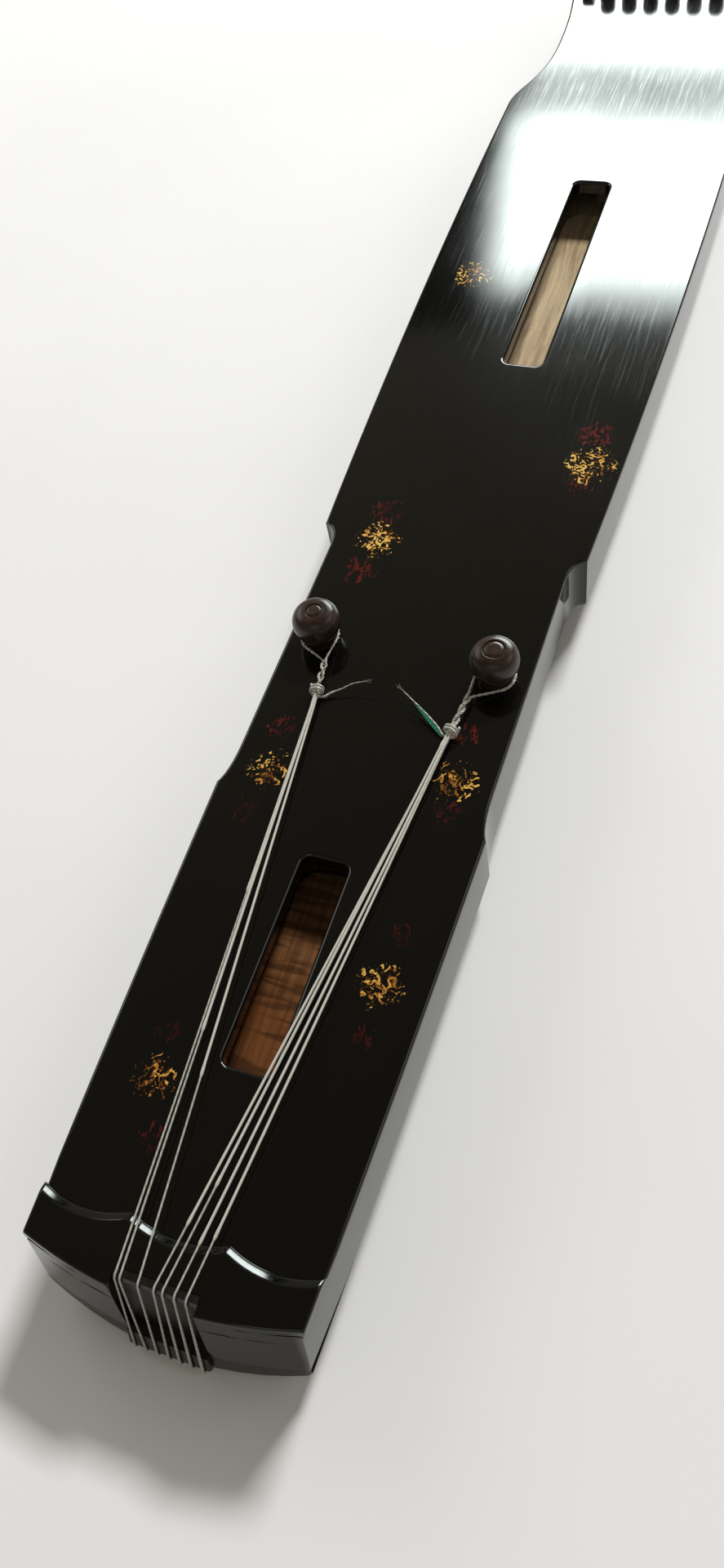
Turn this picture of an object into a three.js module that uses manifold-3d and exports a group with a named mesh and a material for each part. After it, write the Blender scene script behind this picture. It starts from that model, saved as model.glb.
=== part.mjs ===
// Guqin, a seven-string zither, lying face down: its bottom board, feet and pegs point up.
// Millimetres, +Z up. Here x runs from the tail to the head and the strings touch z = 0.

import * as THREE from 'three';
import { mergeVertices } from 'three/addons/utils/BufferGeometryUtils.js';
import Module from 'manifold-3d';

// Overall sizes
const bodyLength = 1221;
const boardTop = 56;
const boardThickness = 9;
const boardEdge = 2;
const seatGap = 0.3;
const overrun = 6;

// Half widths of the outline
const tailHalf = 67.5;
const lowerWaistHalf = 77;
const waistHalf = 73;
const waistUpperHalf = 74.3;
const bellyHalf = 83.5;
const shoulderHalf = 94.5;
const neckHalf = 75.4;
const headHalf = 84;
const headCornerRadius = 12;
const sideBow = 7;
const tailSideBow = 1.6;

// Places of the outline's stations along the body, as shares of its length
const lowerWaistShare = 0.2228;
const lowerBayShare = 0.2441;
const upperBayShare = 0.3694;
const upperWaistShare = 0.3849;
const shoulderShare = 0.7797;
const neckStartShare = 0.8518;
const headStartShare = 0.9271;
const lowerStepShare = 0.3;
const upperStepShare = 0.85;
const shoulderEaseShares = [0.26, 0.43];
const neckEaseShares = [0.33, 0.65];

// Face of the soundboard: crest line over the surface below, and arch across the width
const tailFaceGap = 2.8;
const midFaceGap = 7;
const headFaceGap = 15;
const headDropShare = 0.66;
const archShare = 0.145;
const archEdgeShare = 0.965;
const archHalfSteps = 6;
const planCurveSteps = 6;
const faceEdge = 3;

// Hollow of the soundboard
const sideWall = 14;
const faceThickness = 10;
const tailBlock = 90;
const headBlock = 128;
const innerArchShare = 0.09;
const innerCornerShare = 0.8;
const padTop = 24.5;
const padMargin = 9;

// Sound holes
const longHole = { centreShare: 0.6062, length: 211, width: 27, corner: 5 };
const shortHole = { centreShare: 0.1491, length: 117.5, width: 26, corner: 5 };

// Tail end: bowed in plan and raked, with a notch for the strings
const tailInset = 1;
const tailRake = 12.5;
const tailBow = 9.5;
const tailBowSteps = 24;
const notchHalf = 21;
const gateFront = 6.5;
const gateThickness = 4;
const gateRound = 2.5;

// Tail support, the raised piece on the bottom board
const supportHeight = 5;
const supportReach = 48;
const supportCuspHalf = 24.4;
const supportArcDepth = 4.9;
const supportRound = 1.5;

// Crown corners
const crownHeight = 16;
const crownProud = 1;
const crownInnerReach = 34;
const crownOuterReach = 66;
const crownRoundShares = [0.35, 0.4];

// Strings
const stringCount = 7;
const thickestString = 1.6;
const thinnestString = 0.94;
const bareStringRadius = 0.62;
const wrappedStringRadius = 0.95;
const bridgeSpacing = 19.4;
const nutSpacing = 5.9;
const stringSides = 6;
// Where each string crosses the edge of the tail gate, and where its thick wrapping begins
const gateCrossings = [-15.7, -10.1, -4.4, -0.2, 7.6, 16.4, 18.9];
const wrapStarts = [47, 43, 68, 49, 113, 134, 210];
const innerGroup = 4;

// Tail nut
const nutLength = 14;
const nutRound = 4;

// Bridge and its plate
const bridgeFromHead = 87;
const bridgeWidth = 12;
const bridgeDepth = 13;
const bridgeSideInset = 3;
const bridgeFall = 7;
const bridgeSlope = 3.6;
const plateWidth = 26;
const plateThickness = 3.5;
const plateSideInset = 4;

// Knots at the strings' heads, and tuning cords
const flyHeadRadius = 2.2;
const flyHeadOffset = 3.8;
const flyHeadHeight = 4.6;
const cordRadius = 1.7;
const cordHoleRadius = 2.5;
const cordHoleSides = 12;
const cordSides = 6;
// Way of a tuning cord from the string's knot to its hole: share forward, and height per unit of reach
const cordRouteShares = [[0.4, 0.22], [0.75, 0.55], [0.95, 0.95], [1, 1.3]];

// Pegs, their pool and the guards beside it
const pegFromBridge = 15;
const pegHeight = 38;
const pegFlangeRadius = 8;
const pegFlange = 3;
const pegWaistRadius = 5.2;
const pegGripRadius = 7.2;
const pegTipRadius = 4.6;
const pegBoreRadius = 2.4;
const pegSegments = 12;
const pegLobeDepth = 0.7;
// Along the grip: end of the waist, start of the swelling, start and end of the full width
const pegGripShares = [0.12, 0.35, 0.7, 0.88];
const poolDepth = 6;
const poolHalfWidth = 10.5;
const poolMargin = 2;
const guardLength = 46;
const guardHeight = 22;
const guardThickness = 10;
const guardShoulderShares = [0.42, 0.5];
const guardCornerShare = 0.38;
const guardTopShare = 0.2;
const guardDipShare = 0.86;

// Position studs
// Places of the studs as shares of the sounding length, from the bridge
const studShares = [
  1 / 8, 1 / 6, 1 / 5, 1 / 4, 1 / 3, 2 / 5, 1 / 2,
  3 / 5, 2 / 3, 3 / 4, 4 / 5, 5 / 6, 7 / 8,
];
const middleStudRadius = 5.6;
const endStudRadius = 3.4;
const studThickness = 1.2;
const studOffset = 11;
const studSegments = 12;

// Goose feet
const footShare = 0.309;
const footHalfSpacing = 53.9;
// How far each foot stands from their mean line, the left one nearer the head
const footStagger = 2.5;
const footHeight = 25.2;
const footHeadRadius = 14;
const footHeadHeight = 16.2;
const footNeckRadius = 9.8;
const footNeckHeight = 6.8;
const footRingRadius = 5;
const footRingDepth = 0.9;
const footCollar = 1;
const footFlareShares = [0.93, 0.35];
const footDomeShares = [[0.95, 0.4], [0.84, 0.72], [0.64, 0.92]];
const footTenonRadius = 7;
const footTenonLength = 18;
const footBlockRadius = 14;
const footSegments = 20;

// Winding of the strings round a foot's neck, with its twisted part
const strandRadius = 0.9;
const strandGap = 0.5;
const windingLift = 0.2;
// Where the strands of each side meet, from the foot's middle, and how far they run twisted
const twists = {
  left: { back: 19.4, inward: 10.6, length: 14.6 },
  right: { back: 20.2, inward: 9.8, length: 18.4 },
};
const twistSlant = 0.12;
const twistPitch = 15;
const twistStepsPerTurn = 12;
const loopSteps = 24;
const ropeHeight = 5.4;

// Free string ends: a coil round the strings, then a loose stretch given by its points, each as its
// way towards the foot, its way inward and its height over the strings, from the end of the coil
const endRadius = 0.75;
const endTurns = 2.25;
const endCoilBack = 1.5;
const stretchSteps = 4;
const freeStretches = {
  left: [[0.6, 4, -3.4], [3.6, 7.5, -2.5], [6.4, 13, -0.9], [10, 19, 1.2], [11.4, 25.2, 3]],
  right: [[0.6, 4, -3.4], [4.6, 8.2, -2.6], [11, 17.4, -0.5], [15.4, 25.4, 2], [18.9, 32, 4.4]],
};

// Sound posts
const roundPost = { share: 0.727, radius: 5, sides: 16 };
const squarePost = { share: 0.447, side: 10 };

const weldTolerance = 1e-4;

const wasm = await Module();
wasm.setup();

const finishes = {
  blackLacquer: { color: 0x16140f, roughness: 0.2, metalness: 0 },
  darkWood: { color: 0x3a2019, roughness: 0.35, metalness: 0 },
  paleWood: { color: 0xa9835a, roughness: 0.8, metalness: 0 },
  string: { color: 0xe4dfd0, roughness: 0.45, metalness: 0 },
  silkCord: { color: 0x7a2f26, roughness: 0.8, metalness: 0 },
  greenThread: { color: 0x1f7a5c, roughness: 0.6, metalness: 0 },
  shell: { color: 0xe9e6dc, roughness: 0.25, metalness: 0.1 },
};

const guqin = new THREE.Group();

function addPart(name, geometry, finish) {
  const mesh = new THREE.Mesh(geometry, new THREE.MeshStandardMaterial(finishes[finish]));
  mesh.name = name;
  guqin.add(mesh);
  return mesh;
}

// Geometry helpers

const point = (x, y, z) => new THREE.Vector3(x, y, z);

function enclosedVolume(geometry) {
  const position = geometry.attributes.position;
  const corner = (slot) => new THREE.Vector3().fromBufferAttribute(position, geometry.index.getX(slot));
  let volume = 0;
  for (let slot = 0; slot < geometry.index.count; slot += 3) {
    volume += corner(slot).dot(corner(slot + 1).cross(corner(slot + 2)));
  }
  return volume;
}

// Skins a row of rings with the same number of points, and closes both ends.
function loft(rings) {
  const count = rings[0].length;
  const triangles = [];
  for (let ring = 0; ring < rings.length - 1; ring += 1) {
    for (let side = 0; side < count; side += 1) {
      const here = ring * count + side;
      const next = ring * count + ((side + 1) % count);
      triangles.push([here, next, next + count], [here, next + count, here + count]);
    }
  }
  const last = (rings.length - 1) * count;
  for (let side = 1; side < count - 1; side += 1) {
    triangles.push([0, side + 1, side], [last, last + side, last + side + 1]);
  }
  const geometry = new THREE.BufferGeometry().setFromPoints(rings.flat());
  geometry.setIndex(triangles.flat());
  if (enclosedVolume(geometry) < 0) {
    geometry.setIndex(triangles.flatMap(([a, b, c]) => [a, c, b]));
  }
  geometry.computeVertexNormals();
  return geometry;
}

// A round tube through the given points, with a radius for each, its rings turned as little as can be.
function tube(points, radii, sides) {
  const along = points.map((point, at) => {
    const before = points[Math.max(at - 1, 0)];
    const after = points[Math.min(at + 1, points.length - 1)];
    return after.clone().sub(before).normalize();
  });
  let across = Math.abs(along[0].z) > Math.SQRT1_2 ? point(0, 1, 0) : point(0, 0, 1);
  const rings = points.map((point, at) => {
    across = across.clone().addScaledVector(along[at], -across.dot(along[at])).normalize();
    const other = along[at].clone().cross(across);
    const ring = [];
    for (let side = 0; side < sides; side += 1) {
      const angle = (2 * Math.PI * side) / sides;
      ring.push(point.clone()
        .addScaledVector(across, radii[at] * Math.cos(angle))
        .addScaledVector(other, radii[at] * Math.sin(angle)));
    }
    return ring;
  });
  return loft(rings);
}

function solid(geometry) {
  const bare = geometry.clone();
  bare.deleteAttribute('normal');
  bare.deleteAttribute('uv');
  const merged = mergeVertices(bare, weldTolerance);
  return new wasm.Manifold(new wasm.Mesh({
    numProp: 3,
    vertProperties: new Float32Array(merged.attributes.position.array),
    triVerts: new Uint32Array(merged.index.array),
  }));
}

function surface(body) {
  const mesh = body.getMesh();
  const geometry = new THREE.BufferGeometry();
  geometry.setAttribute('position', new THREE.BufferAttribute(new Float32Array(mesh.vertProperties), 3));
  geometry.setIndex(new THREE.BufferAttribute(new Uint32Array(mesh.triVerts), 1));
  geometry.computeVertexNormals();
  return geometry;
}

function block(from, to) {
  const size = new THREE.Vector3().subVectors(to, from);
  const geometry = new THREE.BoxGeometry(size.x, size.y, size.z);
  geometry.translate(from.x + size.x / 2, from.y + size.y / 2, from.z + size.z / 2);
  return solid(geometry);
}

function drum(radius, from, to, segments) {
  const geometry = new THREE.CylinderGeometry(radius, radius, to.z - from.z, segments);
  geometry.rotateX(Math.PI / 2);
  geometry.translate(from.x, from.y, (from.z + to.z) / 2);
  return solid(geometry);
}

function prism(shape, low, high, curveSegments) {
  const depth = high - low;
  const geometry = new THREE.ExtrudeGeometry(shape, { depth, bevelEnabled: false, curveSegments });
  geometry.translate(0, 0, low);
  return geometry;
}

// Outline of the body

function sideOutline() {
  const lowerWaist = bodyLength * lowerWaistShare;
  const lowerBay = bodyLength * lowerBayShare;
  const upperBay = bodyLength * upperBayShare;
  const upperWaist = bodyLength * upperWaistShare;
  const shoulder = bodyLength * shoulderShare;
  const neck = bodyLength * neckStartShare;
  const head = bodyLength * headStartShare;
  const flat = (x, half) => new THREE.Vector2(x, half);
  const between = (from, to, share) => from + (to - from) * share;
  const stretches = [
    [new THREE.QuadraticBezierCurve(
      flat(0, tailHalf),
      flat(lowerWaist / 2, (tailHalf + lowerWaistHalf) / 2 + tailSideBow),
      flat(lowerWaist, lowerWaistHalf),
    ), 6],
    [new THREE.QuadraticBezierCurve(
      flat(lowerWaist, lowerWaistHalf),
      flat(between(lowerWaist, lowerBay, lowerStepShare), waistHalf),
      flat(lowerBay, waistHalf),
    ), 5],
    [new THREE.LineCurve(flat(lowerBay, waistHalf), flat(upperBay, waistUpperHalf)), 3],
    [new THREE.QuadraticBezierCurve(
      flat(upperBay, waistUpperHalf),
      flat(between(upperBay, upperWaist, upperStepShare), waistUpperHalf),
      flat(upperWaist, bellyHalf),
    ), 6],
    [new THREE.QuadraticBezierCurve(
      flat(upperWaist, bellyHalf),
      flat((upperWaist + shoulder) / 2, (bellyHalf + shoulderHalf) / 2 + sideBow),
      flat(shoulder, shoulderHalf),
    ), 9],
    [new THREE.CubicBezierCurve(
      flat(shoulder, shoulderHalf),
      flat(between(shoulder, neck, shoulderEaseShares[0]), shoulderHalf - boardEdge),
      flat(between(shoulder, neck, shoulderEaseShares[1]), neckHalf),
      flat(neck, neckHalf),
    ), 9],
    [new THREE.CubicBezierCurve(
      flat(neck, neckHalf),
      flat(between(neck, head, neckEaseShares[0]), neckHalf),
      flat(between(neck, head, neckEaseShares[1]), neckHalf + boardEdge),
      flat(head, headHalf),
    ), 7],
    [new THREE.LineCurve(flat(head, headHalf), flat(bodyLength - headCornerRadius, headHalf)), 2],
  ];
  const outline = stretches.flatMap(([curve, steps], at) => curve.getPoints(steps).slice(at === 0 ? 0 : 1));
  for (let step = 1; step <= planCurveSteps; step += 1) {
    const angle = (Math.PI / 2) * (step / planCurveSteps);
    outline.push(flat(
      bodyLength - headCornerRadius * (1 - Math.sin(angle)),
      headHalf - headCornerRadius * (1 - Math.cos(angle)),
    ));
  }
  return outline;
}

const outline = sideOutline();
const bridgeX = bodyLength - bridgeFromHead;
const boardUnder = boardTop - boardThickness;

function halfWidthAt(x) {
  const after = Math.max(1, outline.findIndex((spot) => spot.x >= x));
  const start = outline[after - 1];
  const end = outline[after];
  return THREE.MathUtils.mapLinear(x, start.x, end.x, start.y, end.y);
}

// Height of the face's crest line over the surface that the strings touch
function crestAt(x) {
  const rising = THREE.MathUtils.mapLinear(x, 0, bodyLength, tailFaceGap, midFaceGap);
  const dropStart = bodyLength * headDropShare;
  const drop = THREE.MathUtils.clamp((x - dropStart) / (bridgeX - dropStart), 0, 1);
  return rising + (headFaceGap - midFaceGap) * drop * drop;
}

function faceAt(x, y) {
  const share = y / halfWidthAt(x);
  return crestAt(x) + halfWidthAt(x) * archShare * share * share;
}

// Rings of the whole body below a level, its face moved out or in by some amount
function bodyRings(top, proud) {
  return outline.map((spot) => {
    const crest = crestAt(spot.x) - proud;
    const rise = spot.y * archShare;
    const ring = [point(spot.x, spot.y, top), point(spot.x, spot.y, crest + rise + faceEdge)];
    for (let step = archHalfSteps; step >= -archHalfSteps; step -= 1) {
      const share = (archEdgeShare * step) / archHalfSteps;
      ring.push(point(spot.x, spot.y * share, crest + rise * share * share));
    }
    ring.push(point(spot.x, -spot.y, crest + rise + faceEdge), point(spot.x, -spot.y, top));
    return ring;
  });
}

// Slab with the body's outline between two levels, its upper edge softened
function outlineSlab(low, high) {
  return solid(loft(outline.map((spot) => [
    point(spot.x, spot.y, low),
    point(spot.x, spot.y, high - boardEdge),
    point(spot.x, spot.y - boardEdge, high),
    point(spot.x, -spot.y + boardEdge, high),
    point(spot.x, -spot.y, high - boardEdge),
    point(spot.x, -spot.y, low),
  ])));
}

// Tail end

const rakeSlope = tailRake / boardTop;

// Turns a plan shape into a solid that leans as the tail end does
function raked(shape) {
  const geometry = prism(shape, -overrun, boardTop + supportHeight + overrun, tailBowSteps);
  geometry.applyMatrix4(new THREE.Matrix4().makeShear(0, 0, 0, 0, rakeSlope, 0));
  return solid(geometry);
}

function beyondTail() {
  const reach = 2 * tailHalf;
  const bow = tailBow * (reach / tailHalf) ** 2;
  const shape = new THREE.Shape();
  shape.moveTo(-reach, -reach);
  shape.lineTo(tailInset + bow, -reach);
  shape.quadraticCurveTo(tailInset - bow, 0, tailInset + bow, reach);
  shape.lineTo(-reach, reach);
  return raked(shape);
}

function stringNotch() {
  const back = gateFront + gateThickness + seatGap;
  const shape = new THREE.Shape();
  shape.moveTo(-tailHalf, -notchHalf);
  shape.lineTo(back, -notchHalf);
  shape.lineTo(back, notchHalf);
  shape.lineTo(-tailHalf, notchHalf);
  return raked(shape);
}

const tailCut = beyondTail();
const notchCut = stringNotch();

function crownSolid(side, grow) {
  const inner = notchHalf + seatGap - grow;
  const shape = new THREE.Shape();
  shape.moveTo(-tailHalf, side * inner);
  shape.lineTo(crownInnerReach + grow, side * inner);
  shape.bezierCurveTo(
    crownInnerReach + grow + (crownOuterReach - crownInnerReach) * crownRoundShares[0],
    side * inner,
    crownInnerReach + grow,
    side * (inner + (tailHalf - inner) * crownRoundShares[1]),
    crownOuterReach + grow,
    side * (tailHalf + overrun),
  );
  shape.lineTo(-tailHalf, side * (tailHalf + overrun));
  return solid(prism(shape, -overrun, crownHeight + grow, planCurveSteps));
}

// Cord places

const stringNumbers = Array.from({ length: stringCount }, (_, at) => at);
const lastString = stringCount - 1;
const fromMiddle = (at) => at - lastString / 2;
const faceRadius = (at) => THREE.MathUtils.mapLinear(at, 0, lastString, thickestString, thinnestString) / 2;
const bridgeY = (at) => fromMiddle(at) * bridgeSpacing;
const nutY = (at) => fromMiddle(at) * nutSpacing;
// Level of a seat on which every string's outer side touches z = 0
const seatAt = (y, spacing) => 2 * faceRadius(y / spacing + lastString / 2) + seatGap;
const pegX = bridgeX + bridgeWidth + pegFromBridge;
const holeRow = (radius, low, high) => stringNumbers.map(
  (at) => drum(radius, point(pegX, bridgeY(at), low), point(pegX, bridgeY(at), high), cordHoleSides),
);

function roundedSlot(hole, margin) {
  const halfLength = hole.length / 2 + margin;
  const halfWidth = hole.width / 2 + margin;
  const radius = hole.corner + margin;
  const centre = bodyLength * hole.centreShare;
  const shape = new THREE.Shape();
  shape.absarc(centre + halfLength - radius, halfWidth - radius, radius, 0, Math.PI / 2);
  shape.absarc(centre - halfLength + radius, halfWidth - radius, radius, Math.PI / 2, Math.PI);
  shape.absarc(centre - halfLength + radius, radius - halfWidth, radius, Math.PI, 1.5 * Math.PI);
  shape.absarc(centre + halfLength - radius, radius - halfWidth, radius, 1.5 * Math.PI, 2 * Math.PI);
  return shape;
}

const slotSolid = (hole, margin, low, high) => (
  solid(prism(roundedSlot(hole, margin), low, high, planCurveSteps))
);

// Soundboard

function innerRoof(x) {
  return crestAt(x) + faceThickness;
}

function hollow() {
  const start = tailBlock;
  const end = bodyLength - headBlock;
  const inside = outline.filter((spot) => spot.x > start && spot.x < end);
  const spots = [
    new THREE.Vector2(start, halfWidthAt(start)),
    ...inside,
    new THREE.Vector2(end, halfWidthAt(end)),
  ];
  const rings = spots.map((spot) => {
    const half = spot.y - sideWall;
    const roof = innerRoof(spot.x);
    const rise = half * innerArchShare;
    const corner = half * innerCornerShare;
    return [
      point(spot.x, half, boardUnder + overrun),
      point(spot.x, half, roof + rise + faceEdge),
      point(spot.x, corner, roof + rise / 2),
      point(spot.x, 0, roof),
      point(spot.x, -corner, roof + rise / 2),
      point(spot.x, -half, roof + rise + faceEdge),
      point(spot.x, -half, boardUnder + overrun),
    ];
  });
  let space = solid(loft(rings));
  for (const hole of [longHole, shortHole]) {
    space = space.subtract(slotSolid(hole, padMargin, 0, padTop));
  }
  for (const side of [1, -1]) {
    const foot = footPlace(side);
    space = space.subtract(drum(
      footBlockRadius,
      point(foot.x, foot.y, 0),
      point(foot.x, foot.y, boardTop + overrun),
      footSegments,
    ));
  }
  return space;
}

function footPlace(side) {
  return new THREE.Vector2(bodyLength * footShare + side * footStagger, side * footHalfSpacing);
}

function footSocket(side) {
  const foot = footPlace(side);
  return drum(
    footTenonRadius + seatGap,
    point(foot.x, foot.y, boardTop - footTenonLength - seatGap),
    point(foot.x, foot.y, boardTop + overrun),
    footSegments,
  );
}

function nutSeat() {
  return block(
    point(-tailHalf, -notchHalf, -overrun),
    point(nutLength + seatGap, notchHalf, crownHeight + seatGap),
  );
}

function bridgeSeatLevel() {
  return crestAt(bridgeX) + bridgeDepth;
}

function bridgeSlot() {
  const half = headHalf - bridgeSideInset + seatGap;
  return block(
    point(bridgeX - seatGap, -half, -overrun),
    point(bridgeX + bridgeWidth + seatGap, half, bridgeSeatLevel() + seatGap),
  );
}

// Everything on the strings' side of a layer of the face, between two lines along x
function beforeFace(from, to, half, depth) {
  return block(point(from, -half, -overrun), point(to, half, boardUnder))
    .subtract(solid(loft(bodyRings(boardTop + overrun, -depth))));
}

const plateStart = bridgeX + bridgeWidth + seatGap;
const plateHalf = headHalf - plateSideInset;

function studPlaces() {
  const stringLength = bridgeX - nutRound;
  const middle = (studShares.length - 1) / 2;
  return studShares.map((share, at) => {
    const x = bridgeX - stringLength * share;
    const string = THREE.MathUtils.lerp(bridgeY(0), nutY(0), share);
    const y = string - studOffset;
    const half = halfWidthAt(x);
    const slope = (2 * archShare * y) / half;
    const radius = THREE.MathUtils.lerp(middleStudRadius, endStudRadius, Math.abs(at - middle) / middle);
    return { x, y, z: faceAt(x, y), tilt: Math.atan(slope), radius };
  });
}

function studDisc(stud, margin, proud) {
  const thickness = studThickness + margin + proud;
  const radius = stud.radius + margin;
  const geometry = new THREE.CylinderGeometry(radius, radius, thickness, studSegments);
  geometry.rotateX(Math.PI / 2);
  geometry.translate(0, 0, thickness / 2 - proud);
  geometry.rotateX(stud.tilt);
  geometry.translate(stud.x, stud.y, stud.z);
  return geometry;
}

function makeSoundboard() {
  let board = solid(loft(bodyRings(boardUnder, 0)))
    .subtract(hollow())
    .subtract(tailCut)
    .subtract(notchCut)
    .subtract(nutSeat())
    .subtract(bridgeSlot())
    .subtract(beforeFace(plateStart - seatGap, plateStart + plateWidth + seatGap, plateHalf + seatGap,
      plateThickness + seatGap));
  for (const side of [1, -1]) {
    board = board.subtract(crownSolid(side, seatGap));
    board = board.subtract(footSocket(side));
  }
  for (const hole of holeRow(cordHoleRadius, 0, boardTop)) {
    board = board.subtract(hole);
  }
  for (const stud of studPlaces()) {
    board = board.subtract(solid(studDisc(stud, seatGap, studThickness)));
  }
  addPart('soundboard', surface(board), 'blackLacquer');
}

// Bottom board

function makeBottomBoard() {
  const poolHalf = bridgeY(lastString) + pegFlangeRadius + poolMargin;
  let board = outlineSlab(boardUnder, boardTop)
    .subtract(tailCut)
    .subtract(notchCut)
    .subtract(slotSolid(longHole, 0, 0, boardTop + overrun))
    .subtract(slotSolid(shortHole, 0, 0, boardTop + overrun))
    .subtract(block(
      point(pegX - poolHalfWidth, -poolHalf, boardTop - poolDepth),
      point(pegX + poolHalfWidth, poolHalf, boardTop + overrun),
    ));
  for (const side of [1, -1]) {
    board = board.subtract(footSocket(side));
  }
  for (const hole of holeRow(cordHoleRadius, 0, boardTop)) {
    board = board.subtract(hole);
  }
  addPart('bottom_board', surface(board), 'blackLacquer');
}

// Tail pieces

function makeTailSupport() {
  const top = boardTop + supportHeight;
  const reach = tailHalf + overrun;
  const shape = new THREE.Shape();
  const dip = supportReach - 2 * supportArcDepth;
  const outer = halfWidthAt(supportReach);
  shape.moveTo(-reach, -reach);
  shape.lineTo(supportReach, -reach);
  shape.lineTo(supportReach, -outer);
  shape.quadraticCurveTo(dip, -(outer + supportCuspHalf) / 2, supportReach, -supportCuspHalf);
  shape.quadraticCurveTo(dip, 0, supportReach, supportCuspHalf);
  shape.quadraticCurveTo(dip, (outer + supportCuspHalf) / 2, supportReach, outer);
  shape.lineTo(supportReach, reach);
  shape.lineTo(-reach, reach);
  const plan = new THREE.ExtrudeGeometry(shape, {
    depth: supportHeight,
    bevelThickness: supportRound,
    bevelSize: supportRound,
    bevelOffset: -supportRound,
    bevelSegments: 2,
    curveSegments: planCurveSteps,
  });
  plan.translate(0, 0, top - supportHeight - supportRound);
  const support = outlineSlab(boardTop, top).intersect(solid(plan)).subtract(tailCut).subtract(notchCut);
  addPart('tail_support', surface(support), 'blackLacquer');
}

function makeGatePlate() {
  const low = crownHeight + 2 * seatGap;
  const high = boardTop + supportHeight;
  const leaning = (x, z) => [x + rakeSlope * z, z];
  const profile = [
    leaning(gateFront, low),
    leaning(gateFront, high - gateRound),
    leaning(gateFront + gateRound * (1 - Math.SQRT1_2), high - gateRound * (1 - Math.SQRT1_2)),
    leaning(gateFront + gateRound, high),
    leaning(gateFront + gateThickness, high),
    leaning(gateFront + gateThickness, low),
  ];
  const half = notchHalf - seatGap;
  const rings = [-half, half].map((y) => profile.map(([x, z]) => point(x, y, z)));
  addPart('tail_gate_plate', loft(rings), 'darkWood');
}

// How far the strings lean back for each millimetre that they climb from the nut to the gate
function stringLean(nutLevel) {
  const gateLevel = boardTop + supportHeight - gateRound;
  return (gateFront + rakeSlope * gateLevel) / (gateLevel - nutLevel);
}

function makeTailNut() {
  const half = notchHalf - seatGap;
  const bend = nutRound * (1 - Math.SQRT1_2);
  const rings = [-half, half].map((y) => {
    const crest = seatAt(y, nutSpacing);
    const lean = stringLean(crest + nutRound);
    return [
      point(nutLength, y, crownHeight),
      point(nutLength, y, crest + bend),
      point(nutLength - bend, y, crest),
      point(nutRound, y, crest),
      point(bend, y, crest + bend),
      point(0, y, crest + nutRound),
      point(lean * (crownHeight - crest - nutRound), y, crownHeight),
    ];
  });
  addPart('tail_nut', loft(rings), 'darkWood');
}

function makeCrownCorners() {
  const form = solid(loft(bodyRings(boardUnder, crownProud)));
  for (const [name, side] of [['crown_corner_left', 1], ['crown_corner_right', -1]]) {
    addPart(name, surface(form.intersect(crownSolid(side, 0)).subtract(tailCut)), 'darkWood');
  }
}

// Bridge and its plate

function makeBridge() {
  const half = headHalf - bridgeSideInset;
  const flatHalf = bridgeY(lastString) + 2 * flyHeadRadius;
  const base = bridgeSeatLevel();
  const front = bridgeX;
  const back = bridgeX + bridgeWidth;
  const stops = [-half, -(half + flatHalf) / 2, -flatHalf, flatHalf, (half + flatHalf) / 2, half];
  const falls = [bridgeFall, bridgeFall / 4, 0, 0, bridgeFall / 4, bridgeFall];
  const rings = stops.map((y, at) => {
    const crest = seatAt(y, bridgeSpacing) + falls[at];
    return [
      point(front, y, base),
      point(front, y, crest + bridgeSlope),
      point(front + bridgeWidth / 6, y, crest + bridgeSlope / 4),
      point(front + bridgeWidth / 3, y, crest),
      point(back - bridgeWidth / 2, y, crest),
      point(back, y, crest + bridgeSlope),
      point(back, y, base),
    ];
  });
  addPart('bridge', loft(rings), 'darkWood');
}

function makeBridgePlate() {
  let plate = beforeFace(plateStart, plateStart + plateWidth, plateHalf, plateThickness)
    .intersect(solid(loft(bodyRings(boardTop, 0))));
  for (const hole of holeRow(cordHoleRadius, 0, boardTop)) {
    plate = plate.subtract(hole);
  }
  addPart('bridge_plate', surface(plate), 'darkWood');
}

// Strings

// The strings of each side gather round a line that runs from the knot towards the gate.
// Members are listed from the innermost outward.
const groups = [
  { side: -1, foot: 'right', members: stringNumbers.slice(0, innerGroup).reverse() },
  { side: 1, foot: 'left', members: stringNumbers.slice(innerGroup) },
];

function twistPlace(group) {
  const foot = footPlace(group.side);
  const twist = twists[group.foot];
  const apex = point(foot.x - twist.back, foot.y - group.side * twist.inward, boardTop + ropeHeight);
  const along = point(-Math.cos(twistSlant), -group.side * Math.sin(twistSlant), 0);
  const outward = point(-Math.sin(twistSlant), group.side * Math.cos(twistSlant), 0);
  const knot = apex.clone().addScaledVector(along, twist.length);
  return { foot, apex, along, outward, knot };
}

function bundleRadius(group) {
  return (wrappedStringRadius + seatGap) / Math.sin(Math.PI / group.members.length);
}

// Point on a string where the group lies bundled, some way from the knot towards the tail
function bundleSpot(group, order, back) {
  const { knot, along, outward } = twistPlace(group);
  const angle = 1.5 * Math.PI - (2 * Math.PI * (order + 0.5)) / group.members.length;
  const radius = bundleRadius(group);
  return knot.clone()
    .addScaledVector(along, back)
    .addScaledVector(outward, radius * Math.cos(angle))
    .add(point(0, 0, radius * Math.sin(angle)));
}

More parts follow.
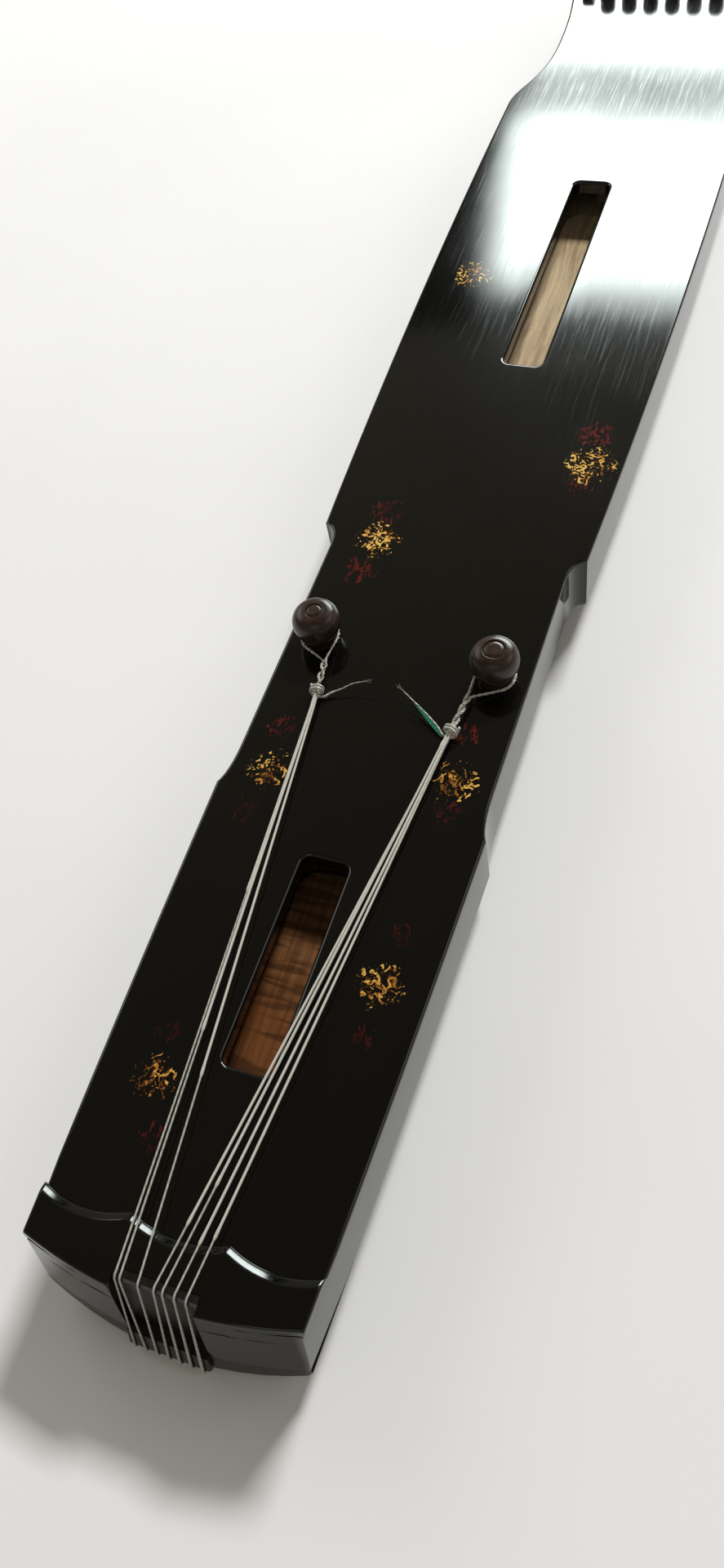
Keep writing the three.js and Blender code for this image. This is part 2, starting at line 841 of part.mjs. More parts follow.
function makeString(group, order) {
  const at = group.members[order];
  const radius = faceRadius(at);
  const gateTop = boardTop + supportHeight;
  const gateX = (z) => gateFront + rakeSlope * z;
  const gateY = gateCrossings[at];
  const clear = bareStringRadius + seatGap;
  const headX = bridgeX + bridgeWidth + flyHeadOffset;
  const bendRadius = nutRound + seatGap + radius;
  const route = [];
  const add = (x, y, z, size) => route.push([point(x, y, z), size]);
  add(headX + flyHeadRadius, bridgeY(at), flyHeadHeight + flyHeadRadius / 2, radius);
  add(headX + flyHeadRadius / 2, bridgeY(at), flyHeadHeight + flyHeadRadius / 4, (3 * flyHeadRadius) / 4);
  add(headX, bridgeY(at), flyHeadHeight, flyHeadRadius);
  add(headX - flyHeadRadius, bridgeY(at), flyHeadHeight - flyHeadRadius / 2, radius);
  add(bridgeX + bridgeWidth / 2, bridgeY(at), radius, radius);
  add(bridgeX + bridgeWidth / 3, bridgeY(at), radius, radius);
  add((bridgeX + nutRound) / 2, (bridgeY(at) + nutY(at)) / 2, radius, radius);
  add(2 * nutRound, nutY(at), radius, radius);
  for (const turn of [0, 1, 2, 3]) {
    const angle = (Math.PI / 2) * (turn / 3);
    add(
      nutRound - bendRadius * Math.sin(angle),
      nutY(at),
      radius + bendRadius * (1 - Math.cos(angle)),
      radius,
    );
  }
  const edge = gateX(gateTop - gateRound);
  add(edge - clear, gateY, gateTop - gateRound, bareStringRadius);
  add(
    edge + gateRound * (1 - Math.SQRT1_2) - clear * Math.SQRT1_2,
    gateY,
    gateTop - (gateRound - clear) * (1 - Math.SQRT1_2) + clear * Math.SQRT1_2 * (1 - Math.SQRT1_2),
    bareStringRadius,
  );
  add(edge + gateRound, gateY, gateTop + clear, bareStringRadius);
  const end = bundleSpot(group, order, 2 * strandRadius + seatGap);
  const near = bundleSpot(group, order, 2 * endCoilLength());
  const gateEnd = point(edge + gateRound, gateY, gateTop + clear);
  const share = (wrapStarts[at] - gateEnd.x) / (near.x - gateEnd.x);
  const step = gateEnd.clone().lerp(near, share);
  const lift = wrappedStringRadius - bareStringRadius;
  add(step.x, step.y, step.z + lift / 2, bareStringRadius);
  add(step.x + 2 * wrappedStringRadius, step.y, step.z + lift, wrappedStringRadius);
  add(near.x, near.y, near.z, wrappedStringRadius);
  add(end.x, end.y, end.z, wrappedStringRadius);
  const spots = route.map(([spot]) => spot);
  const radii = route.map(([, size]) => size);
  addPart(`string_${at + 1}`, tube(spots, radii, stringSides), 'string');
}

function endCoilLength() {
  return endCoilBack + (endTurns + 1) * (2 * endRadius + strandGap);
}

function makeStrings() {
  for (const group of groups) {
    group.members.forEach((member, order) => makeString(group, order));
  }
}

// Tuning cords and pegs

const poolFloor = boardTop - poolDepth;

function makeTuningCords() {
  const headX = bridgeX + bridgeWidth + flyHeadOffset + flyHeadRadius;
  const startZ = flyHeadHeight + flyHeadRadius / 2;
  const reach = pegX - headX;
  for (const at of stringNumbers) {
    const y = bridgeY(at);
    const spots = [
      point(headX + seatGap + cordRadius / 4, y, startZ + seatGap),
      ...cordRouteShares.map(([forward, up]) => point(headX + reach * forward, y, startZ + reach * up)),
      point(pegX, y, boardUnder),
      point(pegX, y, poolFloor + pegHeight - cordRadius),
    ];
    addPart(`tuning_cord_${at + 1}`, tube(spots, spots.map(() => cordRadius), cordSides), 'silkCord');
  }
}

function makePegs() {
  const grip = pegHeight - pegFlange;
  const profile = [
    [pegBoreRadius, 0],
    [pegFlangeRadius, 0],
    [pegFlangeRadius, pegFlange],
    [pegWaistRadius, pegFlange + grip * pegGripShares[0]],
    [pegWaistRadius + pegLobeDepth, pegFlange + grip * pegGripShares[1]],
    [pegGripRadius, pegFlange + grip * pegGripShares[2]],
    [pegGripRadius, pegFlange + grip * pegGripShares[3]],
    [pegTipRadius, pegHeight],
    [pegBoreRadius, pegHeight],
    [pegBoreRadius, 0],
  ].map(([radius, height]) => new THREE.Vector2(radius, height));
  for (const at of stringNumbers) {
    const geometry = new THREE.LatheGeometry(profile, pegSegments);
    const position = geometry.attributes.position;
    for (let spot = 0; spot < position.count; spot += 1) {
      const height = position.getY(spot);
      const ring = Math.floor(spot / profile.length) % 2;
      const radius = Math.hypot(position.getX(spot), position.getZ(spot));
      const gripping = height > pegFlange && height < pegHeight && radius > pegWaistRadius;
      const factor = gripping && ring === 1 ? (radius - pegLobeDepth) / radius : 1;
      position.setX(spot, position.getX(spot) * factor);
      position.setZ(spot, position.getZ(spot) * factor);
    }
    geometry.rotateX(Math.PI / 2);
    geometry.computeVertexNormals();
    const peg = addPart(`peg_${at + 1}`, geometry, 'darkWood');
    peg.position.set(pegX, bridgeY(at), poolFloor + seatGap);
  }
}

function makePegGuards() {
  const inner = bridgeY(lastString) + pegFlangeRadius + poolMargin + seatGap;
  const shape = new THREE.Shape();
  shape.moveTo(-guardLength / 2, 0);
  shape.lineTo(guardLength / 2, 0);
  const top = guardLength * guardTopShare;
  const corner = guardLength * guardCornerShare;
  const shoulder = guardLength * guardShoulderShares[0];
  const shoulderHeight = guardHeight * guardShoulderShares[1];
  shape.bezierCurveTo(shoulder, shoulderHeight, corner, guardHeight, top, guardHeight);
  shape.quadraticCurveTo(0, guardHeight * guardDipShare, -top, guardHeight);
  shape.bezierCurveTo(-corner, guardHeight, -shoulder, shoulderHeight, -guardLength / 2, 0);
  for (const [name, side] of [['peg_guard_left', 1], ['peg_guard_right', -1]]) {
    const geometry = new THREE.ExtrudeGeometry(shape, {
      depth: guardThickness,
      bevelEnabled: false,
      curveSegments: planCurveSteps,
    });
    geometry.rotateX(Math.PI / 2);
    geometry.translate(pegX, side > 0 ? inner + guardThickness : -inner, boardTop);
    addPart(name, geometry, 'darkWood');
  }
}

// Feet

function makeFeet() {
  const profile = [
    [0, -footTenonLength],
    [footTenonRadius, -footTenonLength],
    [footTenonRadius, seatGap],
    [footNeckRadius + footCollar, seatGap],
    [footNeckRadius, footCollar],
    [footNeckRadius, footNeckHeight],
    [
      footHeadRadius * footFlareShares[0],
      footNeckHeight + (footHeadHeight - footNeckHeight) * footFlareShares[1],
    ],
    [footHeadRadius, footHeadHeight],
    ...footDomeShares.map(([across, up]) => [
      footHeadRadius * across,
      footHeadHeight + (footHeight - footHeadHeight) * up,
    ]),
    [footRingRadius + footRingDepth, footHeight - footRingDepth / 2],
    [footRingRadius, footHeight - 2 * footRingDepth],
    [footRingRadius - footRingDepth, footHeight],
    [0, footHeight],
  ].map(([radius, height]) => new THREE.Vector2(radius, height));
  for (const [name, side] of [['goose_foot_left', 1], ['goose_foot_right', -1]]) {
    const geometry = new THREE.LatheGeometry(profile, footSegments);
    geometry.rotateX(Math.PI / 2);
    const foot = addPart(name, geometry, 'darkWood');
    foot.position.set(footPlace(side).x, footPlace(side).y, boardTop);
  }
}

// Least distance between two stretches of a route that are more than a few steps apart
function leastGap(route, radius) {
  let least = Infinity;
  const apart = 4;
  for (let one = 0; one < route.length; one += 1) {
    for (let other = one + apart; other < route.length; other += 1) {
      const chord = route[one].distanceTo(route[other]);
      let travelled = 0;
      for (let step = one; step < other && travelled < 6 * radius; step += 1) {
        travelled += route[step].distanceTo(route[step + 1]);
      }
      if (travelled >= 6 * radius) {
        least = Math.min(least, chord);
      }
    }
  }
  return least - 2 * radius;
}

// Angle round the foot, outward positive, at which a strand from the given point meets the neck
function tangentAngle(spot, foot, radius, side, turn) {
  const back = spot.x - foot.x;
  const out = side * (spot.y - foot.y);
  return Math.atan2(out, back) + turn * Math.acos(radius / Math.hypot(back, out));
}

function windingRoute(group) {
  const { side } = group;
  const { foot, apex, along, outward } = twistPlace(group);
  const twistLength = twists[group.foot].length;
  const twistTurns = twistLength / twistPitch;
  const pitch = 2 * strandRadius + strandGap;
  const loopRadius = footNeckRadius + seatGap + strandRadius;
  const startZ = boardTop + seatGap + strandRadius + windingLift;
  const route = [];
  const helixRadius = pitch / 2;
  const twist = (phase, share) => {
    const angle = phase + 2 * Math.PI * twistTurns * share;
    return apex.clone()
      .addScaledVector(along, twistLength * share)
      .addScaledVector(outward, helixRadius * Math.cos(angle))
      .add(point(0, 0, helixRadius * Math.sin(angle)));
  };
  const steps = Math.round(twistTurns * twistStepsPerTurn);
  const lowPhase = -Math.PI / 3;
  route.push(twist(lowPhase, 1).addScaledVector(along, 2 * strandRadius));
  for (let step = steps; step >= 0; step -= 1) {
    route.push(twist(lowPhase, step / steps));
  }
  const outerAngle = tangentAngle(route.at(-1), foot, loopRadius, side, -1) + 2 * Math.PI;
  const innerAngle = tangentAngle(twist(lowPhase + Math.PI, 0), foot, loopRadius, side, 1);
  const sweep = outerAngle - innerAngle;
  const loops = Math.ceil((sweep / (2 * Math.PI)) * loopSteps);
  for (let step = 0; step <= loops; step += 1) {
    const share = step / loops;
    const angle = outerAngle - sweep * share;
    route.push(point(
      foot.x + loopRadius * Math.cos(angle),
      foot.y + side * loopRadius * Math.sin(angle),
      startZ + (pitch * sweep * share) / (2 * Math.PI),
    ));
  }
  for (let step = 0; step <= steps; step += 1) {
    route.push(twist(lowPhase + Math.PI, step / steps));
  }
  route.push(twist(lowPhase + Math.PI, 1).addScaledVector(along, 2 * strandRadius));
  return route;
}

function makeWindings() {
  for (const group of groups) {
    const name = `foot_winding_${group.foot}`;
    const route = windingRoute(group);
    console.log(`${name}: least gap to itself ${leastGap(route, strandRadius).toFixed(2)} mm`);
    addPart(name, tube(route, route.map(() => strandRadius), stringSides), 'string');
  }
}

function freeEndRoute(group) {
  const { along, outward, knot } = twistPlace(group);
  const pitch = 2 * endRadius + strandGap;
  const radius = bundleRadius(group) + wrappedStringRadius + seatGap + endRadius;
  const start = 2 * strandRadius + seatGap + endCoilBack;
  const steps = Math.round(endTurns * loopSteps);
  const coil = [];
  for (let step = 0; step <= steps; step += 1) {
    const turned = (endTurns * step) / steps;
    const angle = -Math.PI / 2 - 2 * Math.PI * (endTurns - turned);
    coil.push(knot.clone()
      .addScaledVector(along, start + pitch * turned)
      .addScaledVector(outward, -radius * Math.cos(angle))
      .add(point(0, 0, radius * Math.sin(angle))));
  }
  const lead = coil[0].clone().sub(coil[1]).setLength(2 * endRadius).add(coil[0]);
  const coilEnd = knot.clone().addScaledVector(along, start + pitch * endTurns);
  const loose = freeStretches[group.foot].map(([back, inward, up]) => coilEnd.clone()
    .add(point(back, -group.side * inward, up)));
  const curve = new THREE.CatmullRomCurve3([coil.at(-1), ...loose]);
  return [lead, ...coil, ...curve.getPoints(stretchSteps * loose.length).slice(1)];
}

function makeFreeEnds() {
  for (const group of groups) {
    const name = `string_end_${group.foot}`;
    const route = freeEndRoute(group);
    console.log(`${name}: least gap to itself ${leastGap(route, endRadius).toFixed(2)} mm`);
    const finish = group.foot === 'right' ? 'greenThread' : 'string';
    addPart(name, tube(route, route.map(() => endRadius), stringSides), finish);
  }
}

// Sound posts

function makePosts() {
  const roundX = bodyLength * roundPost.share;
  const roundLow = innerRoof(roundX + roundPost.radius) + seatGap;
  const squareX = bodyLength * squarePost.share;
  const squareLow = innerRoof(squareX + squarePost.side / 2) + seatGap;
  const high = boardUnder - seatGap;
  const round = new THREE.CylinderGeometry(
    roundPost.radius,
    roundPost.radius,
    high - roundLow,
    roundPost.sides,
  );
  round.rotateX(Math.PI / 2);
  const square = new THREE.BoxGeometry(squarePost.side, squarePost.side, high - squareLow);
  addPart('round_sound_post', round, 'paleWood').position.set(roundX, 0, (high + roundLow) / 2);
  addPart('square_sound_post', square, 'paleWood').position.set(squareX, 0, (high + squareLow) / 2);
}

function makeStuds() {
  studPlaces().forEach((stud, at) => {
    addPart(`position_stud_${at + 1}`, studDisc(stud, 0, 0), 'shell');
  });
}

makeSoundboard();
makeBottomBoard();
makeTailSupport();
makeGatePlate();
makeTailNut();
makeCrownCorners();
makeBridge();
makeBridgePlate();
makeStuds();
makePosts();
makeFeet();
makePegs();
makePegGuards();
makeTuningCords();
makeStrings();
makeWindings();
makeFreeEnds();

// The origin lies under the middle of the whole instrument.
const extent = new THREE.Box3().setFromObject(guqin);
guqin.position.x = -(extent.min.x + extent.max.x) / 2;

export default guqin;
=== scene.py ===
"""A guqin, a seven-string zither, lying on its strings with its bottom board, feet and pegs upward.

Shapes are in millimetres, with X from the tail towards the head, and placed() puts them into the
frame in metres. Left is +Y, and string 1 is the one furthest to the right.
"""

from math import acos, atan, atan2, copysign, cos, dist, hypot, pi, radians, sin, sqrt
import bmesh
import bpy
import numpy as np
from mathutils import Matrix, Vector


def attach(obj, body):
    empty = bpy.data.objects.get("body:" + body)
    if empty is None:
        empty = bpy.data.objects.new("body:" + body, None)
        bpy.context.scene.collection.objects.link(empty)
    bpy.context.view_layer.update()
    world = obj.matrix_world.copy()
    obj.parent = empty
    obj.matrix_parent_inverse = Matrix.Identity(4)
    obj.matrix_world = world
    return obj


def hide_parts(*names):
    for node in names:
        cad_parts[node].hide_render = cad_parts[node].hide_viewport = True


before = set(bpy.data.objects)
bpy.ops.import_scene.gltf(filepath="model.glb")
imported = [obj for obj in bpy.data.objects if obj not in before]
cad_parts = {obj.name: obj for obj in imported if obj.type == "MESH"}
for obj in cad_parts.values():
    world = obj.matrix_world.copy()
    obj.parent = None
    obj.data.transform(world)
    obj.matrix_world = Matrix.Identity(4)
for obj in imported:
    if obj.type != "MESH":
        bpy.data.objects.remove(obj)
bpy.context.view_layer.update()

BODY = "instrument"
TAIL_X = -609.5723
QUARTER = pi / 2
UPWARD = np.array([0, 0, 1.0])
LEFT, RIGHT = 1, -1
SIDE_NAMES = {LEFT: "left", RIGHT: "right"}

# The body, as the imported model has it
BODY_LENGTH = 1221
TAIL_HALF, WAIST_HALF, HEAD_HALF = 67.5, 77, 84
HEAD_CORNER = 12
BOARD_TOP, BOARD_UNDER = 56, 47
EDGE, HEAD_EDGE = 2, 3
FACE_ARCH, FACE_CORNER = 0.145, 0.965
SEAT_GAP = 0.3
TAIL_RAKE = 12.5 / BOARD_TOP
BEYOND_TAIL, BELOW_FACE, TAIL_SEAT_TOP = -60, -8, 16.3
TAIL_BOW = 9.5
NOTCH_HALF, NOTCH_BACK = 21, 10.8
SUPPORT_TOP, SUPPORT_REACH, SUPPORT_CUSP = 61, 48, 24.4
SUPPORT_ARC = 4.9
SOUND_HOLES = [(740.17, 211, 27, 5), (182.05, 117.5, 26, 5)]
PAD_TOP, PAD_MARGIN = 24.5, 9

# Strings, pegs and feet
BRIDGE_X, BRIDGE_WIDTH = 1134, 12
PLATE_DEPTH = 3.8
PEG_X, PEG_BORE = 1161, 2.5
POOL = (PEG_X, 21, 136.4, 4)
POOL_FLOOR = BOARD_TOP - 6
PEG_HEIGHT = 38
STRING_COUNT = 7
NUMBERS = range(1, STRING_COUNT + 1)
BRIDGE_SPACING, NUT_SPACING = 19.4, 5.9
STRING_HEAD = BRIDGE_X + BRIDGE_WIDTH + 3.8
HEAD_KNOT = (STRING_HEAD + 2.2, 5.7)
THICKEST, THINNEST = 1.6, 0.94
FOOT_X = {LEFT: 379.789, RIGHT: 374.789}
FOOT_Y = 53.9
FOOT_BORE, FOOT_BLOCK, FOOT_NECK = 7.3, 14, 9.8
GROUPS = {LEFT: [4, 5, 6], RIGHT: [3, 2, 1, 0]}
TWISTS = {LEFT: (19.4, 10.6, 14.6), RIGHT: (20.2, 9.8, 18.4)}
TWIST_SLANT, TWIST_RISE, TWIST_PITCH = 0.12, 5.4, 15
BARE_RADIUS, DRAWN_RADIUS, WRAPPED_RADIUS = 0.5, 0.68, 0.95
STRING_SIDES, BUNDLE_LENGTH = 10, 16
STRAND_RADIUS, END_RADIUS = 0.9, 0.75
COIL_TURNS, COIL_STEPS = 2.25, 24
COIL_PITCH = 2 * END_RADIUS + 0.5
COIL_POINTS = int(COIL_TURNS * COIL_STEPS) + 1
LOOSE_FROM = COIL_POINTS + 2
GATE_ROUND, GATE_X = 2.5, 6.5
GATE_CROSSINGS = [-15.7, -10.1, -4.4, -0.2, 7.6, 16.4, 18.9]
WRAP_STARTS = [47, 43, 68, 49, 113, 134, 210]
WHIPPED_STRING = (RIGHT, 1)
FREE_STRETCHES = {
    LEFT: [(0.6, 4, -3.4), (3.6, 7.5, -2.5), (6.4, 13, -0.9), (10, 19, 1.2), (11.4, 25.2, 3)],
    RIGHT: [(0.6, 4, -3.4), (4.6, 8.2, -2.6), (11, 17.4, -0.5), (15.4, 25.4, 2), (18.9, 32, 4.4)],
}


# Mesh work


def placed(points):
    return [((x + TAIL_X) / 1000, y / 1000, z / 1000) for x, y, z in points]


def into_scene(name, data):
    thing = bpy.data.objects.new(name, data)
    bpy.context.scene.collection.objects.link(thing)
    return thing


def new_piece(name, points, faces, finish=None):
    mesh = bpy.data.meshes.new(name)
    mesh.from_pydata(placed(points), [], faces)
    piece = into_scene(name, mesh)
    skin = bmesh.new()
    skin.from_mesh(mesh)
    bmesh.ops.recalc_face_normals(skin, faces=skin.faces)
    skin.to_mesh(mesh)
    skin.free()
    if finish:
        mesh.materials.append(finish)
    return piece


def lofted(rings, closed=True):
    """Points and faces of a skin over rings with the same number of points."""
    count = len(rings[0])
    points = [spot for ring in rings for spot in ring]
    faces = []
    for row in range(len(rings) - 1):
        for side in range(count):
            here, beside = row * count + side, row * count + (side + 1) % count
            faces.append((here, beside, beside + count, here + count))
    if closed:
        faces.append(tuple(range(count)))
        faces.append(tuple(range(len(points) - count, len(points))))
    return points, faces


def capped(rings):
    """A loft whose ends are filled between their upper and lower halves."""
    points, faces = lofted(rings, closed=False)
    count = len(rings[0])
    for start in (0, len(points) - count):
        for at in range(count // 2 - 1):
            near, far = start + at, start + count - 1 - at
            faces.append((near, near + 1, far - 1, far))
    return points, faces


def finished(piece, finish, body=BODY, angle=38):
    """Gives a piece its finish, smooth sides, sharp corners and body, and its solid's place.

    A piece has its solid's name with one more word behind it.
    """
    mesh = piece.data
    if finish is not None:
        mesh.materials.clear()
        mesh.materials.append(finish)
    mesh.shade_smooth()
    mesh.set_sharp_from_angle(angle=radians(angle))
    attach(piece, body)
    solid = piece.name.rpartition("_")[0]
    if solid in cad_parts:
        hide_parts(solid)
    return piece


def even_normals(piece):
    """Keeps wide flat faces flat up to their softened edges."""
    weighting = piece.modifiers.new("even normals", "WEIGHTED_NORMAL")
    weighting.keep_sharp = True
    weighting.weight = 80


def cut_away(piece, cutter):
    """Cuts one piece's form out of another, and leaves the cutter's finish on the new faces."""
    cutting = piece.modifiers.new("cut", "BOOLEAN")
    cutting.object = cutter
    cutting.operation = "DIFFERENCE"
    cutting.solver = "EXACT"
    cutting.material_mode = "TRANSFER"
    bpy.context.view_layer.update()
    seen = piece.evaluated_get(bpy.context.evaluated_depsgraph_get())
    mesh = bpy.data.meshes.new_from_object(seen)
    piece.modifiers.clear()
    piece.data = mesh
    bpy.data.objects.remove(cutter)


def cut(piece, finish, *shapes):
    """Cuts shapes, each given as points and faces, out of a piece."""
    for shape in shapes:
        cut_away(piece, new_piece("cutter", *shape, finish))


def bezier(controls, steps):
    share = np.linspace(0, 1, steps + 1)[:, None]
    points = [np.array(control, float) + 0 * share for control in controls]
    while len(points) > 1:
        points = [a * (1 - share) + b * share for a, b in zip(points, points[1:])]
    return points[0]


def unit(rows):
    return rows / np.linalg.norm(rows, axis=-1, keepdims=True)


def upright(plan, heights, spread=None):
    """A prism on a plan, each of its rings moved outward by its share of the spread."""
    plan = np.array(plan, float)
    after, before = np.roll(plan, -1, axis=0), np.roll(plan, 1, axis=0)
    run = unit(unit(after - plan) + unit(plan - before))
    turning = np.sum(plan[:, 0] * after[:, 1] - plan[:, 1] * after[:, 0])
    out = np.stack([run[:, 1], -run[:, 0]], axis=1) * copysign(1, turning)
    return lofted([
        [(x, y, height) for x, y in plan + out * wider]
        for height, wider in zip(heights, spread or [0] * len(heights))
    ])


def lengths_along(route):
    steps = np.linalg.norm(np.diff(route, axis=0), axis=1)
    return np.concatenate([[0], np.cumsum(steps)])


def places_along(route):
    """Each spot of a route, with two directions square to the route and to each other."""
    ahead = unit(np.gradient(route, axis=0))
    steep = abs(ahead[0][2]) > 0.7
    across = np.array([0, 1, 0]) if steep else UPWARD
    for spot, forward in zip(route, ahead):
        across = unit(across - forward * across.dot(forward))
        yield spot, across, np.cross(forward, across)


def turns_of(count):
    return [2 * pi * side / count for side in range(count)]


def circle(place, radius, angles):
    """Spots round a place on a route."""
    spot, across, other = place
    return [spot + radius * (across * cos(a) + other * sin(a)) for a in angles]


def rope(name, strands, finish, sides=STRING_SIDES):
    """Tubes in one piece, one for each (route, radii); "lay" maps the length and the turn round."""
    points, faces, laid = [], [], []
    angles = turns_of(sides)
    for route, radii in strands:
        route = np.array(route, float)
        tube, skin = lofted([
            [tuple(spot) for spot in circle(place, radius, angles)]
            for place, radius in zip(places_along(route), np.broadcast_to(radii, len(route)))
        ])
        run = lengths_along(route)
        start = len(points)
        points += tube
        for face in skin:
            faces.append(tuple(start + corner for corner in face))
            turns = [corner % sides for corner in face]
            wraps = len(face) == 4 and max(turns) - min(turns) > 1
            laid += [
                (run[corner // sides] / 1000, turn / sides + (wraps and turn == 0))
                for corner, turn in zip(face, turns)
            ]
    mesh = bpy.data.meshes.new(name)
    mesh.from_pydata(placed(points), [], faces)
    mesh.uv_layers.new(name="lay").data.foreach_set("uv", np.array(laid).ravel())
    mesh.flip_normals()
    return finished(into_scene(name, mesh), finish, angle=80)


def plied(route, radius, plies, pitch):
    """Routes of the plies of a rope, each winding round the rope's own route."""
    angles = 2 * pi * (lengths_along(route)[:, None] / pitch + np.arange(plies) / plies)
    spots = [circle(place, radius, turns) for place, turns in zip(places_along(route), angles)]
    return list(np.array(spots).transpose(1, 0, 2))


def rounded(route, spacing):
    """The same route with soft bends and evenly spaced points."""
    route = np.array(route, float)
    steps = np.linalg.norm(np.diff(route, axis=0), axis=1)
    knots = np.concatenate([[0], np.cumsum(steps ** 0.5)])
    padded = np.vstack([2 * route[0] - route[1], route, 2 * route[-1] - route[-2]])
    marks = np.concatenate([[-knots[1]], knots, [2 * knots[-1] - knots[-2]]])
    spots = []
    for mark in np.linspace(0, knots[-1], max(2, int(steps.sum() / spacing)) + 1):
        at = min(int(np.searchsorted(knots, mark, side="right")), len(knots) - 1)
        a, b, c, d = marks[at - 1:at + 3]
        near = padded[at - 1:at + 3]
        for low, high in (([a, b, c], [b, c, d]), ([a, b], [c, d]), ([b], [c])):
            share = (mark - np.array(low)) / np.subtract(high, low)
            near = near[:-1] * (1 - share[:, None]) + near[1:] * share[:, None]
        spots.append(near[0])
    return np.array(spots)


def turned(profile, segments, shape=lambda angle, height: 1):
    """A profile of (radius, height) turned about Z; shape(angle, height) scales its radius."""
    rings = []
    for radius, height in profile:
        reaches = [(radius * shape(angle, height), angle) for angle in turns_of(segments)]
        rings.append([(r * cos(angle), r * sin(angle), height) for r, angle in reaches])
    return lofted(rings)


def moved(points, x, y, z):
    return [(a + x, b + y, c + z) for a, b, c in points]


# Outline, face and sections of the body


def side_outline():
    """Spots of (x, half width) along the body's side, from the tail round the head's corner."""
    waist_low, bay_low, bay_high, waist_high, shoulder, neck, head = (
        BODY_LENGTH * share for share in (0.2228, 0.2441, 0.3694, 0.3849, 0.7797, 0.8518, 0.9271)
    )

    def between(low, high, share):
        return low + (high - low) * share

    spots = [(0.0, TAIL_HALF)]
    for steps, *controls in (
        (18, (waist_low / 2, 73.85), (waist_low, WAIST_HALF)),
        (12, (between(waist_low, bay_low, 0.3), 73), (bay_low, 73)),
        (6, (bay_high, 74.3)),
        (12, (between(bay_high, waist_high, 0.85), 74.3), (waist_high, 83.5)),
        (24, ((waist_high + shoulder) / 2, 96), (shoulder, 94.5)),
        (24, (between(shoulder, neck, 0.26), 92.5), (between(shoulder, neck, 0.43), 75.4),
         (neck, 75.4)),
        (18, (between(neck, head, 0.33), 75.4), (between(neck, head, 0.65), 77.4),
         (head, HEAD_HALF)),
        (6, (BODY_LENGTH - HEAD_CORNER, HEAD_HALF)),
    ):
        spots += [tuple(spot) for spot in bezier([spots[-1], *controls], steps)[1:]]
    for angle in np.linspace(0, QUARTER, 13)[1:]:
        spots.append((
            BODY_LENGTH - HEAD_CORNER * (1 - sin(angle)),
            HEAD_HALF - HEAD_CORNER * (1 - cos(angle)),
        ))
    return spots


OUTLINE = side_outline()


def half_width(x):
    return float(np.interp(x, *zip(*OUTLINE)))


def crest(x):
    """Height of the face's crest line over the level that the strings touch."""
    start = BODY_LENGTH * 0.66
    drop = min(max((x - start) / (BRIDGE_X - start), 0), 1)
    return 2.8 + 4.2 * x / BODY_LENGTH + 8 * drop * drop


def face_height(x, y):
    half = half_width(x)
    return crest(x) + half * FACE_ARCH * (y / half) ** 2


def tail_line(y, z):
    """How far the bowed and leaning tail end lies from the tail's furthest point."""
    return 1 + TAIL_BOW * (y / TAIL_HALF) ** 2 + TAIL_RAKE * z


def to_tail(x, y, z, reach=60):
    """Bends the body's last stretch so that it ends on the tail line."""
    if x >= reach:
        return (x, y, z)
    line = tail_line(y, z)
    return (line + x * (1 - line / reach), y, z)


def head_softening(x):
    """How far the edges of the head end draw in."""
    into = max(0, x - (BODY_LENGTH - HEAD_EDGE))
    return HEAD_EDGE - sqrt(max(0, HEAD_EDGE ** 2 - into ** 2))


def mirrored(profile):
    """A half profile of (y, z) from the side to the middle, and the same on the other side."""
    return profile + [(-y, z) for y, z in reversed(profile) if y]


def board_section(x, profile):
    """A ring of a board from its outer half profile, with the flat joint between the boards."""
    ring = mirrored(profile)
    ring += [(y, BOARD_UNDER) for y, _ in reversed(ring)]
    return [to_tail(x, y, z) for y, z in ring]


def board_blank(lacquer):
    """The bottom board before its holes, with softened edges."""
    rings = []
    for x, half in OUTLINE:
        top = BOARD_TOP - head_softening(x)
        profile = [
            (half - EDGE * (1 - cos(a)), top - EDGE * (1 - sin(a)))
            for a in np.linspace(0, QUARTER, 6)
        ]
        profile += [(half * share, top) for share in (0.85, 0.6, 0.3)]
        rings.append(board_section(x, profile))
    return new_piece("bottom_board_lacquered", *capped(rings), lacquer)


def soundboard_blank(lacquer):
    """The soundboard before its hollow, its arched face below."""
    rings = []
    for x, half in OUTLINE:
        low = crest(x) + head_softening(x)
        rise = half * FACE_ARCH
        shoulder = low + rise + HEAD_EDGE
        fall = shoulder - (low + rise * FACE_CORNER ** 2)
        profile = [
            (half * (FACE_CORNER + (1 - FACE_CORNER) * cos(a)), shoulder - fall * sin(a))
            for a in np.linspace(0, QUARTER, 6)[:-1]
        ]
        shares = [step / 12 * FACE_CORNER for step in range(12, -1, -1)]
        profile += [(half * share, low + rise * share * share) for share in shares]
        rings.append(board_section(x, profile))
    return new_piece("soundboard_lacquered", *capped(rings), lacquer)


# Holes and seats, each as the points and faces to cut away


def hole_plan(centre, length, width, corner, margin=0):
    """Outline of a hole with rounded corners, grown by a margin."""
    long_half, short_half, radius = length / 2 + margin, width / 2 + margin, corner + margin
    plan = []
    for quarter, (sx, sy) in enumerate([(1, 1), (-1, 1), (-1, -1), (1, -1)]):
        for angle in QUARTER * (quarter + np.linspace(0, 1, 9)):
            plan.append((
                centre + sx * (long_half - radius) + radius * cos(angle),
                sy * (short_half - radius) + radius * sin(angle),
            ))
    return plan


